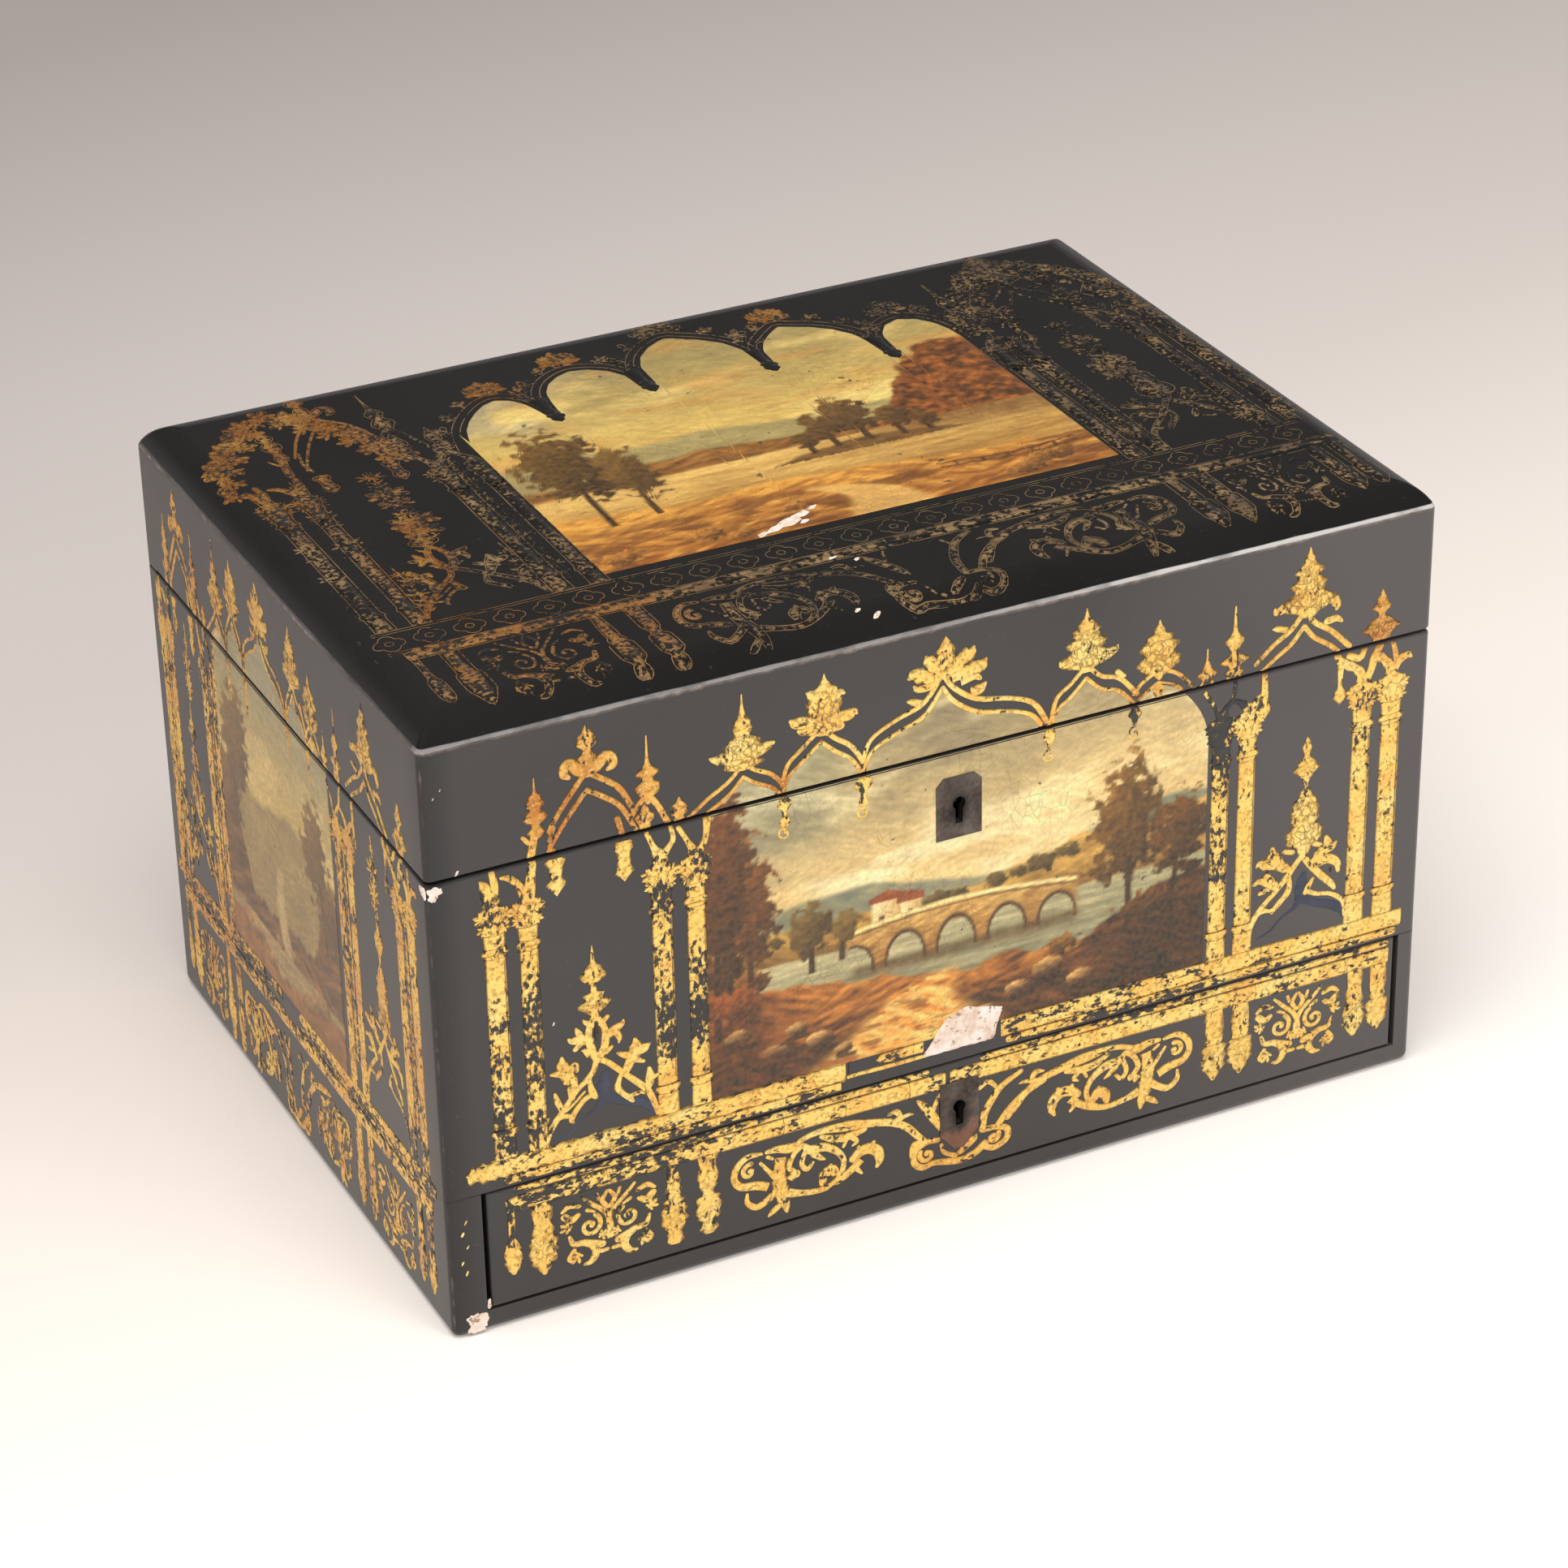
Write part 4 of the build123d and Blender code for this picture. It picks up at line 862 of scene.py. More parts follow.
def lid_bays():
    """The two narrow bays' arches on the lid, left and right of the arcade."""
    out = doubled("""34 147 .8, 38 153 .9, 42 158 .95, 45.2 161.8 .9
45.2 161.8 .9, 50 158.5 1, 54.5 154.5 1, 58.5 146.5 .9""", 5.2)
    out += doubled("""243.6 143.5 .8, 249 148 .9, 254.5 151.5 1, 258.6 156.2 1
258.6 156.2 1, 262 152 1, 267.5 148 1, 273.4 142 1""", 4.6)
    return out + strokes("""35.6 148 .7, 34.4 144 .9, 35.2 141 1
53.4 146 1, 54.6 141 1
27 147.4 .6, 29 145.4 .9, 31.4 147 .8
31 149 1.4, 29.8 145 1.3, 29 141 1.3
57 145.4 1, 59.4 148.4 1, 62 150.4 1, 64.8 147 1, 67.6 141 1
226.8 141 .8, 228.4 143.4 1, 230 141 .8""")


def finials():
    """The leafy tops of the arches and of the shafts between them."""
    out = standing("""89.3: 173.2 .2, 169.6 .5, 167 1.2, 165.4 2.2, 164.2 2.5, 163.2 3.4,
162.3 2.6, 161 2.2, 160.2 4.2, 159.4 5.2, 158.4 5, 157.6 6, 156.8 7.8, 155.8 8.6, 154.8 7.4,
153.6 6.2, 152.6 6.4, 151.8 5.2, 151 2
113: 173 .2, 171.6 .7, 170.4 1.8, 169.4 2.2, 168.4 4.2, 166.8 5, 165.8 4.6, 164.8 6, 163.4 5.4,
162.2 4.6, 160.8 5.6, 159 5.6, 157.4 5, 156.2 5.4, 155.2 2
190.8: 173.2 .2, 171.4 .7, 170 1.6, 169.2 2.4, 168.5 3.4, 167.7 3.2, 167 4.4, 166.2 3.9, 165.6 5,
164.8 4.2, 164 5.2, 163.2 6.6, 162 6.6, 161.2 5, 160.4 5.6, 159.6 8.4, 158.4 8.8, 157.2 8, 156.2 6,
155.4 3, 154.4 2.4
213.2: 164.4 .2, 163 .8, 161.6 1.8, 160.6 2.2, 159.8 4, 158.8 4.2, 158 5, 157.2 6.4, 156.2 6.4,
155.2 5.6, 154 5.6, 152.8 6.6, 151.6 7.4, 150.4 6.8, 149.4 5, 148.4 3.4, 147.6 1.4
259.8: 175.2 .2, 173.4 .8, 172.2 1.8, 171.2 1.6, 170.2 2.6, 169.2 4.2, 167.8 4.6, 166.6 3.8,
165.6 4.8, 164.4 5.8, 163 5.8, 161.8 5.2, 160.8 6.4, 159.8 8.8, 158.2 9.6, 157 8.6, 156 6,
155.2 3.2, 154.2 2.2
45.7: 175.4 .2, 174.2 .9, 172.8 1.8, 171.2 2.9, 170.2 3.3, 169.2 2.4, 168.4 1.3, 167.6 1.5,
166.4 2.4, 164 2.6, 162 2.6, 160.4 2.2
30.8: 163.6 .2, 160 .5, 158.8 1.6, 157.8 1.8, 156.8 2.9, 155.8 2.6, 154.8 1.5, 153.8 2.8,
152.6 3.4, 151.4 2.8, 150.2 1.4, 149 1.8, 147.8 2.4, 146.6 1.6
62.2: 168 .2, 161 .6, 159 1.6, 158 2.8, 156.8 3.1, 155.8 1.9, 154.8 2.1, 153.6 3.4, 152.2 4,
151.2 3, 150.2 1.8, 149 1.2
61: 148.2 .2, 147 1.4, 146 1.7, 144.8 2.8, 143.6 2.9, 142.4 1.8, 141 1.7
70.8: 148 .2, 146.6 .9, 145.6 1.9, 144.2 2.7, 143 2.3, 142.2 1.3, 141 2.1
228.3: 152 .2, 148.6 .5, 147.2 1.1, 146 1.7, 144.8 2.9, 143.4 2.6, 142.2 1.2, 141 .9
236.8: 162.8 .3, 156.4 .7, 154.6 1.5, 153.2 2.6, 151.8 3, 150.4 1.9, 149.2 1.1, 148.2 2, 147.2 4.2,
146 4.4, 145 2.4, 144 2.1, 142.8 2.7, 141.2 3
283.6: 156.8 .2, 154.8 1.3, 153.4 1.9, 152 3, 151 2.7, 149.8 1.3, 148.8 1.3, 147.8 3.2, 146.4 5,
145.2 6.6, 144 5, 143 4, 141.6 2.6
213.2: 145.6 .3, 144.6 1.5, 143.2 2.3, 142 1.5, 141 .9""")
    return out + strokes("""45.7 161.4 1.7, 43 163 1.9, 41 165.2 1.7, 39.5 164.8 1.5,
39.1 162.6 1.4, 40.4 161.4 .8
45.7 161.4 1.7, 48.4 163 1.9, 50.6 165 1.7, 52.4 164.4 1.5, 52.8 162.2 1.4, 51.4 161.2 .8
110 159.6 1.6, 107 160.2 2, 104.4 160.8 1.8, 103.2 161.6 .7
109 158 1.2, 106.6 157.6 1.2, 105.4 158.2 .6
116 159.6 1.6, 119.4 159.4 2, 121.6 159.8 1.4, 122.2 159.4 .6
117 158 1.2, 118 156.6 .9, 116.6 156 .6
111.4 166 1.6, 109 168 1.5, 108 168.6 .5
115 165.6 1.6, 117.6 166.6 1.2, 118.6 166.2 .6
147.8 163 2.2, 148.4 168 2.8, 148.6 172 2.6, 148.6 174 1.2, 148.6 175.2 .2
147.4 164 2, 145.2 167.4 2.2, 143.4 169.6 1.8, 142.8 170.6 .6
147 163.4 2, 142.6 164.8 2.2, 139.4 166.2 2.2, 137.8 165.6 .8
145.4 162 1.4, 142 161.6 1.3, 140 161.8 1, 139.2 162.8 .5
149.4 164 2.2, 153.4 167.6 2.3, 156 169 2, 156.8 170.2 .6
150.4 163 2.2, 156 163.8 2.2, 159 164.4 2.2, 160.4 165.8 .6
153 161 1.6, 157 161.6 1.3, 158.6 160.6 .8
141 157.4 1.2, 138.6 158.4 1.2, 137.4 158.8 .5
156 157 1.6, 158.6 157.4 1.8, 160.2 158.6 .7
82.6 155.4 1.6, 80.6 156.2 .9, 79.9 156.6 .4
96 156.6 1.2, 98 156.8 .7
185.4 158.2 1.6, 183.4 158.4 1.3, 182.8 159 .5
197.6 158.4 1.7, 199.6 159.2 1.2, 200.2 160 .5
200.4 152 1, 202.4 150.4 .7
252 158.6 1.7, 249.8 157.8 1.3, 249.2 158.8 .6
267.8 158 1.8, 269 155.6 1.4, 268.8 154.4 .6
252.6 152 1.2, 250 152.8 1, 248.8 153 .4
266 151.4 1.3, 269 151.6 1.2, 270.6 150.4 .6""")


capital = points("""129.4 2.6, 128.6 4.4, 127.6 4, 126.6 3.6, 125.8 4.8, 124.6 4.6, 123.6 3.5,
122.6 4, 121 3.4, 119 3.2, 117.2 3.2, 116.4 4, 115.4 3.9, 114.6 3.1, 100 3.2, 80 3.2, 63 3.2,
62 3.9, 60.6 3.9, 59.8 3.3, 53 3.5""")
column_places = (17.8, 3.2), (27.2, 2.9), (64.9, 3.2), (74.8,
                                                        3.0), (233.4,
                                                               3.1), (241.8,
                                                                      3.0), (278.6, 3.3), (288, 3.4)


def columns():
    """Eight shafts with leafy capitals, and the branches that rise from them."""
    out = []
    for x, half in column_places:
        k = half / 3.2
        shaft = np.insert(capital * (1, k), 0, x, 1)
        out.append(spline(shaft, 3))
        for away, z, angle, length, fat in ((2.4, 126.4, 20, 3.2, .24), (2, 123.6, -20, 2.8, .22)):
            out += leaf(x - away * k, z, 180 - angle, length, fat)
            out += leaf(x + away * k, z, angle, length, fat)
    out += strokes("""17.8 128 2.5, 17.4 131 2.4, 16.6 134 2.2, 15.6 136.4 1.4, 14.8 137.6 .5
17.8 132 1.8, 18.6 135.4 1.3, 18 139.6 1
27.2 128 2, 26.4 131.4 1.5, 24.8 134.6 1.2, 22.6 136.8 1.1, 20.6 137.4 .6
27.4 128 2.2, 28.2 132 1.9, 28.8 136 1.5, 29.4 139.8 1.2
64.9 128 2.4, 64.8 131.6 2.2, 63.2 135 1, 61.4 139.6 .8
65 131 1.8, 67 133.4 1.1, 68.8 136 .9, 68.2 139.8 .7
74.8 128 2.4, 74.6 130.6 1.8, 73 134 .9, 70.4 138.8 .8
75 129.6 1.8, 77 131.6 1.2, 78.2 135 1, 78.6 139.6 1.4
233.4 128 2.2, 234.6 132 1.2, 236.6 134.4 .9, 237.6 139.6 .8
233 129 1.2, 231.2 133 .8, 228 138.6 .7
241.8 127.6 2.3, 241.6 130.6 1.8, 239 133 1, 236.8 134 .8
242 129 2, 244.4 132.4 1.2, 246.6 134 1.2, 246.6 139.6 1
278.6 124 2.8, 278.6 128 2.6, 278.2 131 2, 276.4 134 1.5, 273 136.2 1.6, 270.6 138 1.4,
269.8 139.8 1.2
273.6 138.8 1.2, 277 137.4 1.3, 278.6 139.8 1
279.4 130 1.6, 281 133 1.4, 281.8 136.4 1.5, 283.6 139.8 1.4
288 124 2.8, 288 128 2.5, 287.4 131.6 1.9, 285.4 134.6 1.5, 283 136.4 1.6, 281.6 135.6 1
288.2 131 1.8, 290 133.6 1.6, 292.6 134.6 1.3, 293.8 133.8 .6
289 134 1, 288.4 137.2 1, 287.6 139.8 .8""")
    out += standing("""35.7: 139 2.2, 138 2.9, 136.8 2.6, 135.8 1.9, 133 1.9, 131.8 2.6, 130.6 2.6,
129.4 1.4, 128.2 .3
54.8: 139 2.4, 138 2.9, 136.6 2.5, 135.8 2, 132.4 1.9, 131.2 2.6, 129.8 2.5, 128.6 1.5, 127.4 .3
247: 134 1.1, 131 1.1, 129.6 1.8, 128.2 1.8, 126.6 .5
271: 136 1.2, 132 .9, 129.6 .9, 128.4 1.9, 126.8 2.2, 125.4 1.3, 124.8 .4
100.9: 139.8 1.1, 138.6 2.1, 137.2 2.3, 136 1.2, 134.4 .9, 133.2 1.6, 131.6 1.7, 130.4 .8
124: 139.8 1.3, 138.8 2.8, 137.2 3.2, 136 1.8, 134.4 1, 133.2 1.5, 131.8 1.5, 130.6 .6
179.8: 139.8 1.2, 138.6 2.1, 137.2 2.2, 136 1.2, 134.6 .9
206: 139.8 1.2, 138.6 2, 137.2 2.1, 136 1.1, 134.6 .8""")
    for x, z in ((100.9, 129), (124, 129.2), (179.8, 131.6), (206, 132)):
        out += volute(x, z, 2.2, 90, 0.96, .45, 14)
    return out


def gables():
    """The gables between the columns, with what stands on them."""
    out = standing("""44.7: 110.6 .15, 108 .5, 106 .7, 105.2 1.1, 104.4 2.4, 103.4 2.5, 102.6 3,
101.8 4.3, 100.8 4.1, 100 2.6, 99.2 1.4, 98.4 .9, 97.4 1, 96.6 1.1, 96 3, 95 3.1, 94.2 2.9,
93.4 4.6, 92.2 4.8, 91.2 4, 90.4 2.3, 89.6 1.3, 88.4 1
261.2: 116.6 .15, 115.2 1.1, 113.8 1.6, 112.2 1.3, 110.8 1, 109.8 1.7, 108.8 3.2, 107.6 3.5,
106.7 4.2, 105.8 3.7, 104.6 2.4, 103.2 1.3, 102 .8, 100.6 .8, 99.6 1.7, 97.8 2.8, 96.4 4, 95.2 4.7,
94 4.5, 92.4 5, 91 5.1, 90 4.3, 89 4, 88.2 5.4, 86.4 6.3, 85.2 6.6, 84 6.2, 82.8 5, 81.8 3, 80.4 2,
79 1.4""")
    return out + strokes("""44.6 76 .9, 43.6 72.6 1, 41.2 70 1, 38.4 67.6 .9, 34.8 63.2 1,
32.2 60 1.1, 30.6 57.4 1, 29.4 54.4 .9
42.2 71 .8, 42.6 68 .9, 43.2 65.6 1.3, 43.9 64.4 .9
43 65.4 1, 40.6 64.4 1, 38 61.6 1, 36.8 59.4 1, 37.2 58.4 .5
37 60.4 .8, 34.4 61 .9, 32.4 60.6 1
40.8 66.8 .5, 37.6 64 .5, 35.4 62.4 .5
45 76 1, 48 73.8 1, 52 69.6 1, 56 65.4 1.1, 59 62 1.2, 60.6 58 1, 61.8 54 .9
51.6 69.4 .7, 50.7 67.2 .9, 50.4 65.2 1.1, 51.8 63 .9, 53.6 61.2 1, 54.5 60 .7
53.4 61.6 .8, 56 61.9 .8, 58.8 61.6 1
38.4 68 1, 37.4 71 1.7, 35.8 74 2.1, 34.8 77 1.7, 34.8 79 .6
36.4 73.6 1.2, 34 74.4 1.3, 31.7 74.8 .6
36.6 74 1.2, 38.4 75.8 1.2, 38.9 74 .7
37.8 71 1, 35.6 71.2 .8
52.6 69 1.1, 54 72 1.7, 55.4 74.8 2.2, 56 77 1.7, 55.8 79 .5
55 74 1.4, 52.4 75 1.1, 50.8 76 .5
55.6 74.6 1.4, 58.4 75.4 1.6, 59.8 76.2 .6
56 72.4 1, 58 71.4 .7
34.2 63 .9, 33 66 1, 32.4 68.6 .5
37.2 66 1.1, 36.8 69 1
59 62.6 1.1, 59.8 65.4 1.6, 59.6 68.6 .7
60.2 65.4 1.1, 61.9 66 .6
42.6 77.4 .9, 41.6 79.2 .9, 40.8 79.6 .4
47.6 77.4 1, 49 78.4 .7
44.8 75.6 1.3, 43.4 79.4 1.3, 42.6 83 1.2, 43.2 86.6 1.1, 44.7 89.4 .9
45 75.6 1.3, 47 79 1.4, 47.5 83 1.2, 46.7 86.4 1, 44.9 89.4 .8
43 82 1.3, 40.4 83 1.7, 37.9 83.4 1.1, 36.9 84.2 .4
41 82.8 1.1, 39.8 85.4 1, 39.2 86.8 .4
40.8 82.4 1.1, 38.8 80.6 .9
47.4 82 1.3, 50 83.4 1.6, 52.2 84.6 1, 52.7 85.6 .4
50.4 83 1.2, 51.4 80.6 .9, 51.2 79.2 .4
43.6 86.4 1, 42 88 .8, 41.2 88.9 .3
46.4 86.4 1, 48.2 88 .8
260.6 79 1.1, 258.4 76.4 1.1, 256 73.4 1.2, 252.6 69.8 1, 249 66.6 1, 246.4 63.6 1.1, 244.8 60.6 1,
244.2 57.6 .9, 244.2 54.4 .9
256.6 73.4 .9, 257 70.4 1, 256.2 68 1.3, 255 66.8 1
255.4 67.2 1.1, 252.8 64.6 1.1, 251.6 63.2 .8
251.4 64 .9, 248 64.4 1, 246 63.2 1
256 76 1.4, 253.4 78 2, 251.4 81 2.1, 251 83.8 .8
252.6 78.6 1.8, 249.6 79 1.9, 247 80 1.3, 246.1 79.4 .5
253 70.6 1.3, 250.8 73 1.9, 249.4 75.4 1.2
250.6 72.6 1.5, 247.4 74.4 1.1, 245.5 73.8 .7
250 71 1, 247.4 70.4 .8
261 79 1.1, 263.6 75.4 1.3, 267 71.4 1.3, 270.6 67.6 1.2, 271.8 65.8 .8
264.6 70.6 .7, 263.2 68.4 1.1, 262.4 66.8 1
263 67 .9, 266 65.4 .8, 270 64.4 .8, 273 62.6 .9, 275 60.2 .8, 275.6 56 .7
264.4 76 1.3, 267 78.4 2.1, 269 80.4 2.1, 268.6 83 .8
267.8 79 1.7, 270.6 79.6 1.5, 271.8 80.6 .5
266 75.6 1.8, 269.6 75.8 1.8, 272.4 73.8 1.4, 272.9 71.2 .8
257.6 81 1, 255 81.8 .9
264.6 82 1, 266.6 81 .9""")


def well_band():
    """The broad gilt band along the foot of the well, with the gap where it is rubbed away."""
    return strokes("""6.6 50.6 .5, 7.4 50.4 2.5, 9 50.2 2.2, 10.4 50.3 3.1, 14 50.2 3.1,
30 50.2 3.1, 60 50.2 3.1, 90 50.2 3.1, 117.4 50.3 3.1
118.4 48.3 .7, 122 48.4 .7, 126.4 48.3 .8, 133 48.2 .8, 141 48.2 .7
127.4 51.2 .6, 128.4 51.2 1.6, 132 51.1 1.9, 136 51.2 1.8, 141.2 51.2 1.9
165.4 50.2 3.1, 200 50.2 3.1, 230 50.2 3.1, 260 50.2 3.1, 294.6 50.2 3
18 46 1.4, 60 46 1.5, 116 46 1.5
168 46 1.3, 220 46 1.5, 292 46 1.4""", 12)


def acanthus():
    """The left half of the drawer's scroll: stems, volutes and leaves."""
    out = strokes("""91.6 31.5 .7, 87.6 31.8 1.1, 84.4 29.4 1.2, 83.4 25.8 1.2, 85.4 22.8 1.4,
90 21.8 1.6, 93.4 20.4 1.6
97.6 28.6 1.8, 97 25 2, 97 21 2.3, 97.6 17 2.3, 98.6 13.4 1.7, 99 10.8 .7
97.4 13.6 1, 95 12 1.1, 93.6 10.8 .5
87.2 19.8 .5, 87.2 17 1, 90 14.8 1.2, 93.4 16.2 1.3, 96.4 18.6 1.5
93.4 31.6 .8, 96.6 31.6 1.3, 100.4 30.8 1.8, 102.4 31.6 1
93.6 30 .7, 95 29 .6
91.4 28.6 .6, 94 25 .8, 95.8 22.4 1
100.6 30.6 1, 104.6 32.6 1, 110 33.4 1.2, 118 32.6 1.9, 124 31.6 1.5, 131 29.8 1.4, 136 26.8 1.3,
139.4 22.8 1.2, 141.6 20.4 1
110 31.6 .9, 114 29.6 1.4, 118 29.2 1.5, 123 30 1
119.4 28.4 .9, 120.6 26.8 .9, 119.4 25.8 .4
117.4 28 .7, 116.6 26.4 .6
100.2 20.6 1.5, 101.4 22.4 1.1, 100 25 1, 101.4 28.4 1, 104 30.6 1
104.6 30.4 .9, 106.4 28.4 1.7, 110.6 28 1.6, 114.6 25.4 1.2, 116.6 21.6 1, 115.6 17.6 1,
113.4 15.6 1
104.8 28 .9, 103.8 24.6 .9, 105.4 22.4 .9, 107.2 24 .6
107.4 26.8 1.2, 109.6 24.8 .9, 110.8 24 .4
99.6 16.4 1.8, 103.6 15.2 1.2, 109.6 14.4 1.1, 115 15.8 1.3, 119.4 18.4 1.4, 121.6 20.6 1.8
120.4 18 1, 122 16 .5
110 16.4 1.2, 110.6 18.8 1.9, 112.8 20 1.9, 114.4 18 1.4
112.4 20 1.2, 112.6 21.6 .6
119.4 21.4 1.4, 121.6 23 1.9, 124.4 23.4 2, 127 21.6 1.9, 127.6 18.8 1.5, 126.8 16.8 .7
124.6 23.6 1.2, 125.8 25 .7
121.8 22.6 1.2, 121.2 24.8 .7
133 30 1, 136.4 30.6 .7, 138 30.4 .3
130.4 32.4 .5, 133 32.6 1.1, 134.4 30 .8""")
    return out + volute(88, 26.8, 2.5, 80, .85, .95) + volute(102.2, 21.6, 1.7, 200, -.8, .6, 12)


def scroll_panel(low, high):
    """A pair of leafed scrolls in a small panel, facing each other."""
    half = strokes("""1.4 31 .6, 3.6 32.4 1, 6.4 31.6 .8
2 29.4 1.3, 4 27.8 1.3, 6 28.8 .9
7.4 34 .6, 10.4 31 .8, 14.2 27.4 .9, 15.6 23 1, 14.8 19.6 1
3.2 22.6 .6, 4.4 20 1, 7.4 19.6 1.2, 10 18.4 1.5, 12.8 17.6 1.3
10.2 18 1.4, 11 15.4 1.4, 9.4 13 1.1, 7.2 12.6 .5
4.4 18 .8, 2.8 15.6 .8, 4 14.2 .5
12.6 15.4 .9, 14.4 15.4 .7
14.9 34 .6, 13.4 31.4 .9, 14.8 29 .8
11.8 33.8 .6, 12.4 32 .6
8.8 29.6 .7, 10.8 28.6 .5""") + volute(9.4, 24.4, 3.6, 60, -1.15, .9)
    half += leaf(6, 16.6, 230, 3.6) + leaf(3.4, 24.8, 140, 3.4, .22) + leaf(12.2, 21, -20, 3, .22)
    share = (high - low) / 30.5
    half = [path * (share, 1, 1) + (low, 0, 0) for path in half]
    return half + mirrored(half, (low + high) / 2)


def drawer_ornament():
    """The drawer's two bands, the feet of the columns, the big scroll and two small panels."""
    out = strokes("""17 37.6 2.2, 24 38.2 2.8, 60 38.4 2.8, 100 38.4 2.9, 148 38.4 2.9
149.6 38.6 2.4, 158 38.6 2.9, 220 38.4 2.9, 291 38.4 2.8
20 42.4 1, 60 42.4 1.3, 100 42.4 1.3, 142 42.4 1.2
160 42.4 1.1, 220 42.4 1.3, 290 42.4 1.2""", 14)
    out += standing("""18.2: 36 1.2, 31 1.1, 27 1.3, 25.8 1.8, 25 2.4, 20 2.5, 18 2.1, 16.6 1
27: 36 3, 27 3.1, 25.6 3.4, 24.8 4.2, 19 4.3, 17 3.5, 15 2.2, 13.8 1
65.4: 36 1.6, 28 2.4, 26 2.2, 24.8 3, 23.6 2.6, 22.8 3.9, 17 3.9, 15.6 2.7, 14.6 1.9, 13.8 2.5,
12.2 2.7, 10.8 1.6
75.6: 36 3, 27.4 3.1, 26 2.4, 24.6 1.8, 23.4 2.4, 22.6 3.6, 17 3.8, 15.6 2.6, 14.8 2, 14 2.6,
12.4 2.7, 11 1.5
233.8: 36 3, 26 3.1, 24.8 2.6, 24 4, 18 4, 16.6 3.2, 15 2.2, 13.6 1
242.4: 36 3, 26 3.1, 24.8 2.6, 24 4.1, 18 4.1, 16.6 3.3, 15 2.2, 13.6 1
280.2: 36 2.8, 26 2.9, 24.8 2.4, 24 3.7, 18.6 3.7, 17 2.8, 15.4 1.4
288: 36 2.8, 26 2.9, 24.8 2.4, 24 3.7, 18.6 3.7, 17 2.8, 15.4 1.4""")
    half = acanthus()
    out += half + mirrored(half, 154.6) + scroll_panel(31.4, 61.2) + scroll_panel(246.4, 276)
    out += strokes("""137.8 17 1.2, 138.2 20 1.2, 140.6 21 1.3
145.6 19.6 1, 142 19.8 1.1, 138.6 18 1.2, 138.2 14.4 1.2, 140.8 12 1.2, 144.6 12.4 1.1,
149.4 11.4 1.3, 153.6 10.8 1.3, 157.6 12 1.4, 160.4 14 1.4
146.8 17.6 .7, 147.6 15 .8, 151 12.8 1
152.6 13.6 1.1, 155 15.4 1.5, 157 16.8 1.3, 157.6 17.6 .5
139.6 34 .6, 141.6 31.6 1.4, 144 28 1.7, 145.8 24.6 1.2, 146.2 22.8 .5
144.4 30 .9, 145.4 32.6 .8, 146.6 34.6 .5
159.6 19 1.2, 160.4 24 1.4, 163 28.4 1.4, 166 31.6 1.2, 171.6 34.4 1
158.8 32.6 .8, 161.4 34 .9, 163.8 31.6 .8, 164 29 .6
164.6 19 1.2, 168 23 1.3, 173 26.8 1.3, 179 29.4 1.2
159.6 18.6 1.1, 164 18.4 1.1, 167.4 16.8 1.2, 167.2 13.6 1.2, 163.4 11.8 1.2, 160.4 13 1.1""")
    return out + volute(142.4, 15.8, 2.6, 150, .9, 1) + volute(163, 15.4, 2, 30, -.9, .9)


def front_lid():
    return lid_arcade() + lid_bays() + finials()


def front_well():
    return columns() + gables() + well_band()


def front_drawing():
    """Fine dark drawing over the gilding: holes between leaves, joints and shading lines."""
    specks = points("""85.2 157.4 1.1 .5, 93.4 156.8 .9 .45, 84.6 152.6 .7 .4, 92.4 153.2 .8 .4,
87.4 160.2 .4 .3, 91.2 160.2 .4 .3, 109.4 161.6 1.1 .4, 116.9 160.8 .9 .5, 111.2 164 .5 .35,
114.6 164 .5 .35, 107.6 157.2 .5 .4, 116.2 157.2 .6 .4, 115.6 166.4 .5 .35, 145 164.4 1.1 .4,
146.8 168.4 .8 .4, 151.4 167.4 .6 .4, 153.2 162 .8 .6, 150.6 170.2 .6 .3, 187 161.2 .6 .5,
194 160 .8 .4, 189.2 163.4 .5 .35, 192.2 163.6 .5 .35, 194.6 156 .5 .4, 187.6 157.4 .4 .4,
209 153.8 .6 .4, 216 155 .7 .4, 216.6 152.8 .5 .45, 210.6 157.6 .4 .35, 256.2 166.8 .6 .4,
262.8 167 .7 .4, 256.4 162 .5 .5, 262.6 160.6 .8 .4, 263.8 156.8 .9 .4, 254.4 159 .6 .4,
260.2 163.6 .4 .35, 44.9 84 2.2 .75, 43.4 94.4 .7 .35, 46.6 94.2 .7 .35, 258 91.4 .6 .6,
264.2 91.4 .5 .5, 261.2 86.4 1.4 .35, 257.6 83 .6 .7, 264.8 83 .5 .6, 249.6 76.6 .4 .5,
248 71.2 .4 .6, 268 77.6 .4 .7, 270.4 72 .7 .5, 27.6 18.6 .6 .7, 76 28.6 .4 .4""")
    out = [np.array([[x, z - tall, wide * 0.4], [x, z - tall * 0.4, wide],
                     [x, z + tall * 0.4, wide], [x, z + tall, wide * 0.3]])
           for x, z, tall, wide in specks]
    for x in (46, 57.4, 98.4, 117.2, 136.8, 171, 213, 228.6, 246.8, 276.4):
        out += strokes(f"{x} 41.2 .2, {x + .3} 38 .22, {x} 35.8 .16")
        out += strokes(f"{x + 1.6} 53 .16, {x + 1.3} 50.4 .2, {x + 1.7} 47.6 .16")
    for x, half in column_places:
        for z in (59.6, 62.2, 114.4, 117.4, 121.4):
            out += strokes(f"{x - half} {z} .12, {x} {z - .35} .2, {x + half} {z} .12")
        ridge = x + half * .72
        out += strokes(f"{ridge} 64 .12, {x + half * .75} 90 .26, {ridge} 113 .12", 12)
        for shares, tip in (((-.2, -.4, -.9), 127), ((.3, .5, .9), 127.4)):
            low, mid, high = (x + half * share for share in shares)
            out += strokes(f"{low} 122.4 .1, {mid} 125 .25, {high} {tip} .1")
    return out


